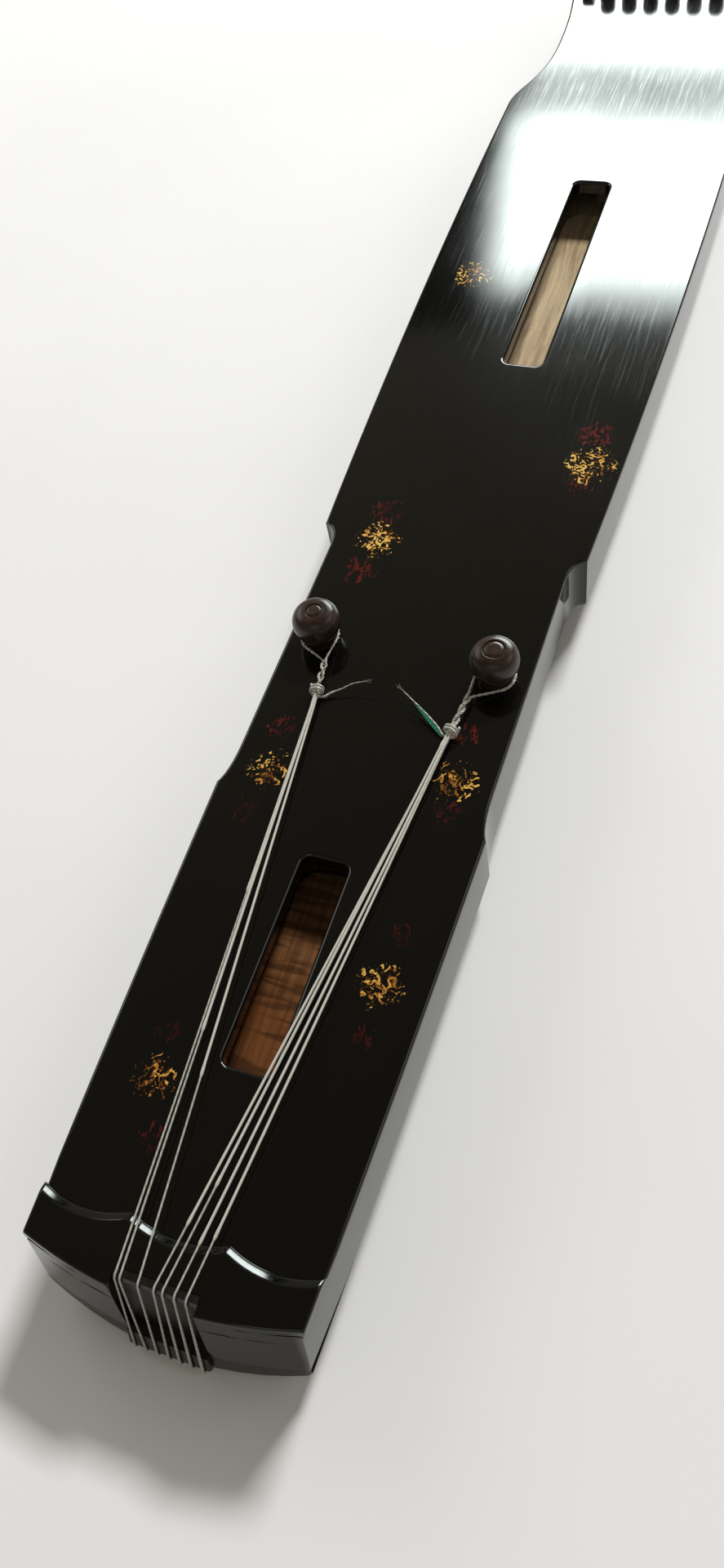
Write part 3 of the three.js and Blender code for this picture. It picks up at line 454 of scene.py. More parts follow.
def rimmed(plan, low):
    """A hole in the bottom board, its rim softened."""
    soft = 2.2
    turns = np.linspace(QUARTER, 0, 7)
    spread = [soft * (1 - sin(a)) for a in turns]
    heights = [BOARD_TOP - soft * (1 - cos(a)) for a in turns]
    return upright(plan, [low, *heights, BOARD_TOP + 2], [0, *spread, spread[-1]])


def bore(x, y, low, high, radius, sides=24):
    plan = [(x + radius * cos(a), y + radius * sin(a)) for a in turns_of(sides)]
    return upright(plan, [low, high])


def foot_bores(low, high, radius):
    return [bore(x, side * FOOT_Y, low, high, radius) for side, x in FOOT_X.items()]


def block_plan(low_x, high_x, half):
    return [(low_x, -half), (high_x, -half), (high_x, half), (low_x, half)]


def leaning_notch():
    """The gap in the tail that the strings pass, leaning as the tail does."""
    plan = block_plan(BEYOND_TAIL, NOTCH_BACK, NOTCH_HALF)
    heights = BELOW_FACE, SUPPORT_TOP + 8
    return lofted([[(x + TAIL_RAKE * z, y, z) for x, y in plan] for z in heights])


def crown_seat(side):
    """The seat of a crown corner beside the notch."""
    reach, outer, side_y = 34 + SEAT_GAP, 66 + SEAT_GAP, 73.5
    curve = bezier([
        (reach, NOTCH_HALF),
        (reach + 32 * 0.35, NOTCH_HALF),
        (reach, NOTCH_HALF + (TAIL_HALF - NOTCH_HALF) * 0.4),
        (outer, side_y),
    ], 12)
    plan = [(BEYOND_TAIL, NOTCH_HALF), *(tuple(spot) for spot in curve), (BEYOND_TAIL, side_y)]
    return upright([(x, side * y) for x, y in plan], [BELOW_FACE, TAIL_SEAT_TOP])


def plate_seat():
    """The shallow seat of the plate beside the bridge, as deep as the plate all over."""
    start, length, half = BRIDGE_X + BRIDGE_WIDTH, 26.6, 80.3
    rings = []
    for x in np.linspace(start, start + length, 6):
        across = np.linspace(half, -half, 17)
        roof = [(x, y, face_height(x, y) + PLATE_DEPTH) for y in across]
        rings.append([(x, -half, BELOW_FACE), (x, half, BELOW_FACE), *roof])
    return lofted(rings)


def chamber(wood):
    """The space inside the soundboard, around its two pads and the blocks under the feet."""
    start, end, wall = 90, BODY_LENGTH - 128, 14
    stations = [start] + [x for x, _ in OUTLINE if start + 4 < x < end - 4] + [end]
    rings = []
    for x in stations:
        half = half_width(x) - wall
        roof = crest(x) + 10
        rise = half * 0.09
        under = [(1, roof + rise + 3), (0.97, roof + rise * 0.8)]
        under += [(share, roof + rise / 2 * (share / 0.8) ** 2) for share in (0.8, 0.5, 0.25, 0)]
        profile = [(half, BOARD_UNDER + 4)] + [(half * share, z) for share, z in under]
        rings.append([(x, y, z) for y, z in mirrored(profile)])
    space = new_piece("chamber", *lofted(rings), wood)
    crown = [(21.5, 0), (23.2, -0.5), (24.2, -1.5), (PAD_TOP, -3)]
    for hole in SOUND_HOLES:
        heights, spread = zip((0, 0), *crown)
        cut(space, wood, upright(hole_plan(*hole, PAD_MARGIN), heights, list(spread)))
    cut(space, wood, *foot_bores(0, BOARD_TOP + 6, FOOT_BLOCK))
    return space


def cord_y(number):
    """Where string or peg number 1 to 7 lies across the bridge."""
    return (number - 4) * BRIDGE_SPACING


def peg_bores(low):
    return [bore(PEG_X, cord_y(number), low, 60, PEG_BORE, 16) for number in NUMBERS]


def make_bottom_board(flecked, lacquer):
    board = board_blank(flecked)
    holes = [rimmed(hole_plan(*hole), BOARD_UNDER - 2) for hole in SOUND_HOLES]
    pool = rimmed(hole_plan(*POOL), POOL_FLOOR)
    bores = peg_bores(40) + foot_bores(38, 62, FOOT_BORE)
    cut(board, lacquer, *holes, pool, *bores, leaning_notch())
    even_normals(finished(board, None))


def make_soundboard(lacquer, wood):
    board = soundboard_blank(lacquer)
    cut_away(board, chamber(wood))
    nut_seat = upright(block_plan(BEYOND_TAIL, 14.3, NOTCH_HALF), [BELOW_FACE, TAIL_SEAT_TOP])
    bridge_plan = block_plan(BRIDGE_X - SEAT_GAP, BRIDGE_X + BRIDGE_WIDTH + SEAT_GAP, 81.3)
    bridge_seat = upright(bridge_plan, [BELOW_FACE, crest(BRIDGE_X) + 13.3])
    cut(board, lacquer, leaning_notch(), nut_seat, bridge_seat)
    for side, foot_hole in zip(SIDE_NAMES, foot_bores(37.7, 62, FOOT_BORE)):
        cut(board, lacquer, crown_seat(side))
        cut(board, wood, foot_hole)
    cut(board, lacquer, plate_seat(), *peg_bores(4))
    even_normals(finished(board, None))


# Node work


def feed(socket, value):
    """Links a socket, or sets its plain value."""
    if isinstance(value, bpy.types.NodeSocket):
        socket.id_data.links.new(value, socket)
    else:
        socket.default_value = value


def add(kind, inputs, **settings):
    """The outputs of a new node, made with its settings and inputs beside what it is linked to."""
    linked = [value for value in inputs.values() if isinstance(value, bpy.types.NodeSocket)]
    node = linked[0].id_data.nodes.new(f"ShaderNode{kind}")
    for key, value in settings.items():
        setattr(node, key, value)
    for key, value in inputs.items():
        feed(node.inputs[key], value)
    return node.outputs


def maths(operation, *values, clamp=False):
    inputs = dict(enumerate(values))
    return add("Math", inputs, operation=operation, use_clamp=clamp)[0]


def times(first, second, clamp=False):
    return maths("MULTIPLY", first, second, clamp=clamp)


def line(value, slope, start, clamp=False):
    """The value times the slope, plus the start."""
    return maths("MULTIPLY_ADD", value, slope, start, clamp=clamp)


def axis(place, number):
    return add("SeparateXYZ", {0: place})[number]


def tint(colour):
    return (*colour, 1) if isinstance(colour, tuple) else colour


def ramp(share, *stops):
    """A colour ramp with (position, colour) stops."""
    tone = add("ValToRGB", {0: share})[0]
    elements = tone.node.color_ramp.elements
    while len(elements) < len(stops):
        elements.new(0.5)
    for element, (position, colour) in zip(elements, stops):
        element.position = position
        element.color = tint(colour)
    return tone


def mixed(share, first, second, blend="MIX"):
    inputs = {0: share, 6: tint(first), 7: tint(second)}
    return add("Mix", inputs, data_type="RGBA", blend_type=blend)[2]


def spread_over(share, low, high):
    """A value from low to high as the share goes from 0 to 1."""
    return add("MapRange", {0: share, 3: low, 4: high})[0]


def stretched(place, scale):
    return add("Mapping", {0: place, "Scale": scale})[0]


def noise(place, scale, detail=2.0, roughness=0.5, distortion=0.0, stretch=None):
    if stretch:
        place = stretched(place, stretch)
    return add("TexNoise", {
        "Vector": place, "Scale": scale, "Detail": detail, "Roughness": roughness,
        "Distortion": distortion,
    })[0]


def effect(vector, *values):
    """Makes a node group of a function; it is then called for each use, with all its inputs."""

    def group_of(build):
        tree = bpy.data.node_groups.new(build.__name__, "ShaderNodeTree")

        def socket(label, in_out, kind="Float"):
            tree.interface.new_socket(label, in_out=in_out, socket_type=f"NodeSocket{kind}")

        socket(vector, "INPUT", "Vector")
        for label in values:
            socket(label, "INPUT")
        given = list(tree.nodes.new("NodeGroupInput").outputs)[:len(values) + 1]
        ends = tree.nodes.new("NodeGroupOutput").inputs
        for label, result in build(*given).items():
            socket(label, "OUTPUT")
            tree.links.new(result, ends[label])
        return lambda *inputs: add("Group", dict(enumerate(inputs)), node_tree=tree)

    return group_of


@effect("Place", "Smudge Scale", "Scratch Scale")
def hand_polish(place, smudge_scale, scratch_scale):
    """Uneven gloss from rubbing and handling, with long faint scratches."""
    fine = noise(place, scratch_scale, 3, 0.7, 0.2, (0.3, 9, 3))
    return {
        "Smudge": noise(place, smudge_scale, 4, 0.6, 0.4),
        "Scratch": line(fine, 3, -1.5, clamp=True),
        "Height": noise(place, times(smudge_scale, 1.6), 2, 0.4),
    }


@effect("Place", "Band Scale", "Wander")
def wood_grain(place, band_scale, wander):
    """Long grain with darker bands and fine pores along X."""
    drift = times(noise(place, 14, 3, 0.5, 0.3, (0.12, 1, 1)), wander)
    offset = add("CombineXYZ", {1: drift, 2: drift})[0]
    along = stretched(place, (0.06, 1, 1))
    bent = add("VectorMath", {0: along, 1: offset}, operation="ADD")[0]
    bands = noise(bent, band_scale, 5, 0.62)
    pores = line(noise(place, 900, 2, 0.6, 0, (0.05, 1, 1)), 5, -2.9, clamp=True)
    return {"Bands": bands, "Pores": pores, "Height": line(pores, -0.6, bands)}


@effect("Lay", "Strands", "Turns Per Metre")
def thread_lay(lay, strands, turns):
    """The slanting strands of a thread, from the length along it and the turn round it; the groove
    share marks where shade is painted between strands.
    """
    phase = line(axis(lay, 1), strands, times(axis(lay, 0), turns))
    crown = line(maths("SINE", times(phase, 2 * pi)), 0.5, 0.5, clamp=True)
    return {"Crown": crown, "Groove": maths("POWER", maths("SUBTRACT", 1, crown), 2)}


@effect("Place", "Middle X", "Middle Y", "Reach", "Fullness")
def fleck_patch(place, middle_x, middle_y, reach, fullness):
    """How near a spot on the board is to the middle of a patch of flecks."""
    along = maths("SUBTRACT", axis(place, 0), middle_x)
    aside = maths("SUBTRACT", axis(place, 1), middle_y)
    distance = maths("SQRT", line(along, along, times(aside, aside)))
    near = maths("SUBTRACT", 1, maths("DIVIDE", distance, reach), clamp=True)
    return {"Nearness": times(near, fullness)}


@effect("Marks", "Nearness", "Fewest", "Most")
def fleck_dabs(marks, nearness, fewest, most):
    """Separate dabs where the marks stand out, fewer towards the edge of a patch."""
    level = spread_over(times(nearness, 2.2, clamp=True), fewest, most)
    dabs = times(maths("SUBTRACT", axis(marks, 0), level), 45, clamp=True)
    return {"Dabs": times(dabs, times(nearness, 9, clamp=True))}


# Patches of flecks on the bottom board: X, Y, reach and fullness
GOLD_PATCHES = [
    (724.8, 60.3, 16, 1.2), (548, -67, 18, 1), (462.1, 45.7, 16, 1), (285.8, 48.8, 15, 0.62),
    (302.8, -51.5, 15, 0.8), (181, -49.5, 14, 0.8), (107.6, 40.3, 13, 0.8),
]
RED_PATCHES = [
    (575.3, -64.8, 14, 1.2), (531.2, -62.7, 12, 1), (485.1, 47.4, 13, 1.2), (435.9, 49.1, 13, 1),
    (314.4, 53.9, 10, 0.8), (259.2, 53.4, 10, 0.8), (333.1, -48.6, 9, 0.8),
    (283.2, -52.4, 10, 0.9), (209.6, -50.4, 8, 0.8), (154.4, -49.8, 7, 0.8),
    (129.9, 43.7, 9, 0.8), (80.5, 29.3, 9, 0.8),
]


# Finishes; each surface gives its colour, roughness, relief (height, distance, strength) and
# other properties


def surfaced(owner, shader, output):
    """Gives a material or world new nodes, with a shader and its output."""
    owner.use_nodes = True
    tree = owner.node_tree
    tree.nodes.clear()
    shader, output = tree.nodes.new(shader), tree.nodes.new(output)
    tree.links.new(shader.outputs[0], output.inputs[0])
    return shader, tree.nodes.new("ShaderNodeTexCoord").outputs


def new_finish(name, surface, *given):
    material = bpy.data.materials.new(name)
    shader, place = surfaced(material, "ShaderNodeBsdfPrincipled", "ShaderNodeOutputMaterial")
    colour, rough, relief, inputs = surface(place["Object"], *given)
    inputs.update({"Base Color": colour, "Roughness": rough})
    if relief:
        relief = dict(zip(("Height", "Distance", "Strength"), relief))
        inputs["Normal"] = add("Bump", relief)[0]
    for key, value in inputs.items():
        feed(shader.inputs[key], value)
    return material


def nearest_patch(place, patches):
    nearness = None
    for x, y, reach, fullness in patches:
        here = fleck_patch(place, (x + TAIL_X) / 1000, y / 1000, reach / 1000, fullness)[0]
        nearness = maths("MAXIMUM", nearness, here) if nearness else here
    return nearness


def flecked(place, colour):
    """Dabs and dust of gold, and dabs of red, over the lacquer; both are brighter at the head."""
    gold, red = nearest_patch(place, GOLD_PATCHES), nearest_patch(place, RED_PATCHES)
    strokes = noise(place, 250, 0.8, 0.4, 1.6)
    dust = fleck_dabs(noise(place, 520, 1, 0.5, 0.8), gold, 0.72, 0.62)[0]
    gold_mask = maths("MAXIMUM", fleck_dabs(strokes, gold, 0.7, 0.55)[0], dust)
    red_mask = fleck_dabs(noise(place, 420, 1, 0.5, 1.0, (0.6, 1, 1)), red, 0.7, 0.52)[0]
    towards_head, tones = axis(place, 0), noise(place, 70, 2)
    gold_tone = ramp(
        line(towards_head, 0.27, line(tones, 0.6, times(strokes, 0.9))),
        (0.71, (0.13, 0.045, 0.008)), (0.79, (0.4, 0.17, 0.025)), (0.88, (0.74, 0.46, 0.11)),
    )
    red_tone = ramp(
        line(towards_head, 0.3, tones), (0.3, (0.018, 0.003, 0.003)), (0.6, (0.095, 0.009, 0.008)),
    )
    return mixed(gold_mask, mixed(red_mask, colour, red_tone), gold_tone)


def lacquer(place, with_flecks):
    """Near-black lacquer, hand polished; the bottom board's has patches of gold and red flecks."""
    polish = hand_polish(place, 7.0, 75.0)
    smudge, scratch = polish["Smudge"], polish["Scratch"]
    colour = mixed(smudge, (0.0018, 0.0017, 0.0013), (0.004, 0.0037, 0.0026))
    if with_flecks:
        colour = flecked(place, colour)
    rough = line(scratch, 0.09, spread_over(smudge, 0.05, 0.13))
    return colour, rough, (line(scratch, -0.014, polish["Height"]), 0.0005, 0.3), {}


def grained(place, wander, pore_share, dark, light):
    """The grain of a wood, and its colour between two (position, colour) stops, with pores."""
    grain = wood_grain(place, 210.0, wander)
    pore_colour = tuple(share * 0.4 for share in dark[1])
    tone = ramp(grain["Bands"], dark, light)
    return grain, mixed(times(grain["Pores"], pore_share), tone, pore_colour)


def bare_wood(place, light, dark):
    """Planed wood of the chamber, redder and with marks across its grain towards the tail."""
    aged_tint, mark = (0.31, 0.15, 0.075), (0.04, 0.017, 0.008)
    grain, tone = grained(place, 0.05, 0.45, (0.36, dark), (0.64, light))
    age = line(axis(place, 0), -1.2, 0.13, clamp=True)
    tone = mixed(times(age, 1.5), tone, aged_tint, "MULTIPLY")
    strokes = noise(place, 190, 1.5, 0.6, 0.4, (1, 0.12, 1))
    chatter = times(line(strokes, 8, -3.7, clamp=True), age)
    relief = (line(chatter, -0.8, grain["Height"]), 0.0006, 0.5)
    rough = spread_over(grain["Pores"], 0.68, 0.88)
    return mixed(chatter, tone, mark), rough, relief, {"Specular IOR Level": 0.15}


def turned_wood(place, light, dark, rough):
    """Dark polished hardwood of the feet, pegs and fittings."""
    grain, tone = grained(place, 0.3, 0.5, (0.35, dark), (0.68, light))
    polish = hand_polish(place, 60.0, 300.0)
    relief = (line(polish["Scratch"], 0.3, grain["Height"]), 0.00005, 0.5)
    rough = spread_over(polish["Smudge"], rough * 0.75, rough * 1.35)
    return tone, rough, relief, {"Specular IOR Level": 0.42}


def thread(place, light, dark, strands, turns, rough=0.45, relief=0.00018):
    """Silk or wound thread, its strands slanting round it, with shade painted into the grooves
    between them.
    """
    run = place.id_data.nodes.new("ShaderNodeUVMap")
    run.uv_map = "lay"
    lay = thread_lay(run.outputs[0], strands, turns)
    wear = noise(place, 160, 3, 0.6)
    # Painted shade: the grooves between strands are darkened towards the dark colour, mixed with
    # random wear
    groove_shade_and_wear = line(lay["Groove"], 0.7, times(wear, 0.35), clamp=True)
    rough = spread_over(wear, rough - 0.1, rough + 0.15)
    return mixed(groove_shade_and_wear, light, dark), rough, (lay["Crown"], relief, 1.0), {"Sheen Weight": 0.15}


def shell(place):
    """Mother-of-pearl, in clouds of pale colour."""
    clouds = noise(place, 140, 3, 0.6, 2)
    tone = ramp(
        clouds, (0.3, (0.56, 0.66, 0.62)), (0.5, (0.8, 0.77, 0.7)), (0.7, (0.72, 0.6, 0.64)),
    )
    return tone, spread_over(clouds, 0.12, 0.25), (clouds, 0.0001, 0.3), {"Coat Weight": 0.4}


def make_finishes():
    table = {
        "flecked lacquer": ("flecked_black_lacquer", lacquer, True),
        "lacquer": ("black_lacquer", lacquer, False),
        "bare wood": ("planed_wood", bare_wood, (0.65, 0.5, 0.31), (0.36, 0.26, 0.155)),
        "hardwood": (
            "dark_hardwood", turned_wood, (0.036, 0.018, 0.011), (0.017, 0.008, 0.0052), 0.27,
        ),
        "ebony": (
            "near_black_ebony", turned_wood, (0.012, 0.0095, 0.008), (0.005, 0.004, 0.0035), 0.3,
        ),
        # Thread colours: light on the strands' crowns, dark painted into the grooves between
        # strands as shade and into worn spots
        "string": (
            "wound_string", thread, (0.62, 0.6, 0.54), (0.48, 0.46, 0.4), 1, 1400, 0.45, 0.00005,
        ),
        "bare string": (
            "plain_string", thread, (0.54, 0.52, 0.47), (0.36, 0.34, 0.3), 2, 240, 0.45, 0.00006,
        ),
        "white thread": (
            "twisted_white_thread", thread, (0.6, 0.58, 0.53), (0.32, 0.3, 0.26), 2, 260,
        ),
        "green thread": (
            "green_lashing", thread, (0.01, 0.3, 0.16), (0.004, 0.1, 0.055), 2, 500,
        ),
        "silk cord": (
            "red_silk_cord", thread, (0.2, 0.028, 0.02), (0.06, 0.008, 0.006), 3, 160, 0.6,
        ),
        "shell": ("mother_of_pearl", shell),
    }
    return {key: new_finish(*row) for key, row in table.items()}


# Strings and threads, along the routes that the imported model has


def foot_spot(side):
    return np.array([FOOT_X[side], side * FOOT_Y, 0.0])


def twist_place(side):
    """Where a winding's twist starts, its directions along and outward, and its end, the knot."""
    back, inward, length = TWISTS[side]
    apex = foot_spot(side) + np.array([-back, -side * inward, BOARD_TOP + TWIST_RISE])
    along = np.array([-cos(TWIST_SLANT), -side * sin(TWIST_SLANT), 0])
    outward = np.array([-sin(TWIST_SLANT), side * cos(TWIST_SLANT), 0])
    return apex, along, outward, apex + along * length


def ring_radius(strand, count):
    """Radius of the ring on which a number of strands lie side by side."""
    return strand / sin(pi / count)


def bundle_spot(side, order, back):
    """Where a string lies in its drawn bundle, some way from the knot towards the tail."""
    _, along, outward, knot = twist_place(side)
    count = len(GROUPS[side])
    angle = 1.5 * pi - 2 * pi * (order + 0.5) / count
    radius = ring_radius(DRAWN_RADIUS + 0.03, count)
    return knot + along * back + radius * (outward * cos(angle) + UPWARD * sin(angle))


def make_string(side, order, at, finishes):
    """One string, from the bridge along the face, round the tail and on to its foot."""
    radius = (THICKEST + (THINNEST - THICKEST) * at / (STRING_COUNT - 1)) / 2
    y, nut_y, gate_y = cord_y(at + 1), (at - 3) * NUT_SPACING, GATE_CROSSINGS[at]
    knot_x, knot_z = HEAD_KNOT
    crown = BRIDGE_X + 4
    route = [
        (knot_x, y, knot_z), (STRING_HEAD + 1.1, y, 5.15), (STRING_HEAD, y, 4.6),
        (STRING_HEAD - 2.2, y, 3.5), (crown + 2, y, radius), (crown, y, radius),
        (crown / 2, (y + nut_y) / 2, radius), (8, nut_y, radius),
    ]
    radii = [radius, 1.65, 2.2] + [radius] * 12 + [BARE_RADIUS] * 6
    bend = 4 + SEAT_GAP + radius
    for turn in np.linspace(0, QUARTER, 7):
        route.append((4 - bend * sin(turn), nut_y, radius + bend * (1 - cos(turn))))
    clear = BARE_RADIUS + SEAT_GAP
    low = SUPPORT_TOP - GATE_ROUND
    edge = GATE_X + TAIL_RAKE * low
    for turn in np.linspace(0, QUARTER, 6):
        back = GATE_ROUND * (1 - cos(turn)) - clear * cos(turn)
        route.append((edge + back, gate_y, low + (GATE_ROUND + clear) * sin(turn)))
    gate_end = np.array(route[-1])
    end = bundle_spot(side, order, 2 * STRAND_RADIUS + SEAT_GAP)
    near = bundle_spot(side, order, BUNDLE_LENGTH)
    share = (WRAP_STARTS[at] - gate_end[0]) / (near[0] - gate_end[0])
    wrap_start = gate_end + (near - gate_end) * share
    wrapped_from = len(route)
    lump = 1.3 if (side, order) == WHIPPED_STRING else 1
    for spot, ahead, marks in (
        (wrap_start, unit(near - wrap_start), (
            (0, BARE_RADIUS / DRAWN_RADIUS), (0.6, 1), (1.6, 1.25), (4, 1.18), (7, 1),
        )),
        (near, unit(end - near), ((-2.2, 1), (-1, lump), (1, lump), (2.2, 1))),
        (end, UPWARD, ((0, 1),)),
    ):
        for forward, thickness in marks:
            route.append(tuple(spot + ahead * forward))
            radii.append(DRAWN_RADIUS * thickness)
    piece = rope(f"string_{at + 1}_wound", [(route, radii)], finishes["bare string"])
    piece.data.materials.append(finishes["string"])
    for face in piece.data.polygons[wrapped_from * STRING_SIDES:]:
        face.material_index = 1


def make_strings(finishes):
    for side, members in GROUPS.items():
        for order, at in enumerate(members):
            make_string(side, order, at, finishes)


def free_end_route(side):
    """The coil of a free string end round its strings, and its loose stretch."""
    _, along, outward, knot = twist_place(side)
    bundle = ring_radius(WRAPPED_RADIUS + SEAT_GAP, len(GROUPS[side]))
    radius = bundle + WRAPPED_RADIUS + SEAT_GAP + END_RADIUS
    start = 2 * STRAND_RADIUS + SEAT_GAP + 1.5
    coil = []
    for turns in np.linspace(0, COIL_TURNS, COIL_POINTS):
        angle = -QUARTER - 2 * pi * (COIL_TURNS - turns)
        round_it = UPWARD * sin(angle) - outward * cos(angle)
        coil.append(knot + along * (start + COIL_PITCH * turns) + round_it * radius)
    lead = coil[0] + unit(coil[0] - coil[1]) * 2 * END_RADIUS
    coil_end = knot + along * (start + COIL_PITCH * COIL_TURNS)
    loose = [
        coil_end + np.array([back, -side * inward, up])
        for back, inward, up in FREE_STRETCHES[side]
    ]
    return np.array([lead, *coil, *rounded([coil[-1], *loose], 1.6)[1:]])


def make_string_end(side, finishes):
    """A free string end, a cord that leaves the knot and thins out into loose fibres."""
    route = free_end_route(side)
    share = np.clip((np.arange(len(route)) - LOOSE_FROM) / (len(route) - LOOSE_FROM - 1), 0, 1)
    radii = np.interp(share, [0, 0.1, 0.3, 0.42, 1], {
        LEFT: [0.75, 0.72, 0.66, 0.42, 0.28], RIGHT: [0.75, 0.6, 0.5, 0.45, 0.3],
    }[side])
    white = finishes["white thread"]
    piece = rope(f"string_end_{SIDE_NAMES[side]}_twisted", [(route, radii)], white)
    on_it = [make_frayed_tip(side, route, white)]
    if side == RIGHT:
        on_it.append(make_green_floss(route[LOOSE_FROM:], finishes["green thread"]))


def make_frayed_tip(side, route, finish):
    """Loose fibres that spread from the end of a string."""
    tip, ahead = route[-1], unit(route[-1] - route[-4])
    beside = np.cross(ahead, UPWARD)
    reach = np.linspace(0, 1, 7)[:, None]
    strands = []
    for aside, up, length in (
        (-0.5, 0.3, 4.6), (0.25, 0.5, 3.4), (0.6, -0.2, 5.2), (-0.15, -0.1, 6.2),
    ):
        bend = beside * aside * reach ** 2 * 2.4 + UPWARD * up * np.sin(reach * pi) * 0.8
        strands.append((tip + ahead * (length * reach - 0.6) + bend, np.linspace(0.16, 0.07, 7)))
    return rope(f"frayed_tip_{SIDE_NAMES[side]}", strands, finish, 5)


def make_green_floss(core, finish):
    """Green silk floss tied along the string's end, bellying out on the side towards the tail."""
    strand_count, reach = 13, 3.4
    share = np.linspace(0, 1, len(core))
    length = np.clip((share - 0.06) / 0.7, 0, 1)
    belly = np.sin(pi * length ** 0.8)[:, None] ** 0.8 * np.array([-1, -0.25, -0.2]) * reach
    inside = (share > 0.05) & (share < 0.79)
    strands = []
    for strand in range(strand_count):
        lift = UPWARD * (0.3 * sin(2.4 * strand) - 0.35)
        strands.append(((core + belly * strand / (strand_count - 1) + lift)[inside], 0.26))
    return rope("green_floss", strands, finish, 6)


def winding_route(side):
    """The strand that lies round a foot's neck and twists with itself towards the strings."""
    apex, along, outward, _ = twist_place(side)
    length = TWISTS[side][2]
    pitch = 2 * STRAND_RADIUS + 0.5
    loop_radius = FOOT_NECK + SEAT_GAP + STRAND_RADIUS
    low, steps = -pi / 3, 24

    def twist(phase, share):
        angle = phase + 2 * pi * length / TWIST_PITCH * share
        round_it = outward * cos(angle) + UPWARD * sin(angle)
        return apex + along * length * share + round_it * pitch / 2

    def tangent(spot, turn):
        back, out = spot[0] - FOOT_X[side], side * (spot[1] - side * FOOT_Y)
        return atan2(out, back) + turn * acos(loop_radius / hypot(back, out))

    to_foot = [twist(low, share) for share in np.linspace(1, 0, steps + 1)]
    from_foot = [twist(low + pi, share) for share in np.linspace(0, 1, steps + 1)]
    outer = tangent(to_foot[-1], -1) + 2 * pi
    sweep = outer - tangent(from_foot[0], 1)
    loop = []
    for share in np.linspace(0, 1, 96):
        angle = outer - sweep * share
        rise = STRAND_RADIUS + SEAT_GAP + 0.2 + pitch * sweep * share / (2 * pi)
        loop.append(foot_spot(side) + np.array([
            loop_radius * cos(angle), side * loop_radius * sin(angle), BOARD_TOP + rise,
        ]))
    tail = along * 2 * STRAND_RADIUS
    return np.array([to_foot[0] + tail, *to_foot, *loop, *from_foot, from_foot[-1] + tail])


def make_winding(side, finish):
    """The strand round a foot's neck, of plies twisted together."""
    count, radius, pitch = {LEFT: 2, RIGHT: 3}[side], 0.46, 6.5
    plies = plied(rounded(winding_route(side), 0.7), radius, count, pitch)
    strands = [(ply, radius + 0.01) for ply in plies]
    rope(f"foot_winding_{SIDE_NAMES[side]}_twisted", strands, finish, 8)


def make_tuning_cords(finish):
    head, start = HEAD_KNOT
    reach, radius, pitch = PEG_X - head, 0.84, 9
    for number in NUMBERS:
        y = cord_y(number)
        route = [(head + 0.7, y, start + SEAT_GAP)]
        route += [
            (head + reach * forward, y, start + reach * up)
            for forward, up in ((0.4, 0.22), (0.75, 0.55), (0.95, 0.95), (1, 1.3))
        ]
        route += [(PEG_X, y, BOARD_UNDER), (PEG_X, y, POOL_FLOOR + PEG_HEIGHT - 1.7)]
        strands = [(ply, radius + 0.02) for ply in plied(rounded(route, 1), radius, 3, pitch)]
        rope(f"tuning_cord_{number}_twisted", strands, finish, 8)


# Turned and carved pieces


def foot_profile(ring):
    """Tenon, neck and round head of a goose foot, with its turned ring."""
    neck = FOOT_NECK
    head = rounded([
        (neck, 0, 6.0), (11.3, 0, 7.6), (12.6, 0, 9.4), (13.45, 0, 11.6), (13.9, 0, 13.9),
        (14, 0, 16.2), (13.6, 0, 19), (12.4, 0, 21.7), (10.4, 0, 23.8), (8.2, 0, 24.75),
        (ring + 0.9, 0, 25.05),
    ], 0.6)
    return [
        (0.01, -18), (6.4, -18), (7, -17.4), (7, 0.3), (neck, 0.3), (10, 0.6), (9.9, 1),
        (neck, 1.4), (neck, 6.0), *((x, z) for x, _, z in head[1:]),
        (ring + 0.35, 24.9), (ring + 0.1, 24.35), (ring - 0.2, 24.3), (ring - 0.5, 24.7),
        (ring - 0.9, 25.1), (ring * 0.6, 25.2), (ring * 0.35, 25.18), (0.01, 25.15),
    ]


def make_feet(finish):
    for side, ring in ((LEFT, 4.7), (RIGHT, 6)):
        points, faces = turned(foot_profile(ring), 64)
        points = moved(points, FOOT_X[side], side * FOOT_Y, BOARD_TOP)
        piece = new_piece(f"goose_foot_{SIDE_NAMES[side]}_turned", points, faces)
        finished(piece, finish, angle=50)


def make_pegs(finish):
    """Hollow pegs with a flange and a fluted grip, the tuning cord coming out at the top."""
    count = 48
    profile = [(2.4, 0), (7.7, 0), (8, 0.3), (8, 2.6), (7.6, 3), (6, 4.4), (5.3, 6), (5.2, 7.2)]
    for share in np.linspace(0.14, 0.88, 14):
        swell = 5.2 + 2.0 * np.interp(share, [0.12, 0.35, 0.7, 0.88], [0, 0.35, 1, 1])
        profile.append((float(swell), 3 + 35 * float(share)))
    profile += [(6.9, 35), (6.1, 36.6), (4.9, 37.7), (4.2, 38), (2.9, 38), (2.4, 37.4)]

    def flutes(angle, height):
        share = min(max((height - 7) / 6, 0), 1) * min(max((37.6 - height) / 4, 0), 1)
        return 1 - 0.1 * share * (0.5 - 0.5 * cos(6 * angle)) ** 2

    points, faces = turned(profile, count, flutes)
    last = len(points) - count
    beside = [(side + 1) % count for side in range(count)]
    faces = faces[:-2] + [(last + at, last + on, on, at) for at, on in enumerate(beside)]
    for number in NUMBERS:
        spots = moved(points, PEG_X, cord_y(number), POOL_FLOOR + SEAT_GAP)
        piece = new_piece(f"peg_{number}_fluted", spots, faces)
        finished(piece, finish, f"turning_peg_{number}")


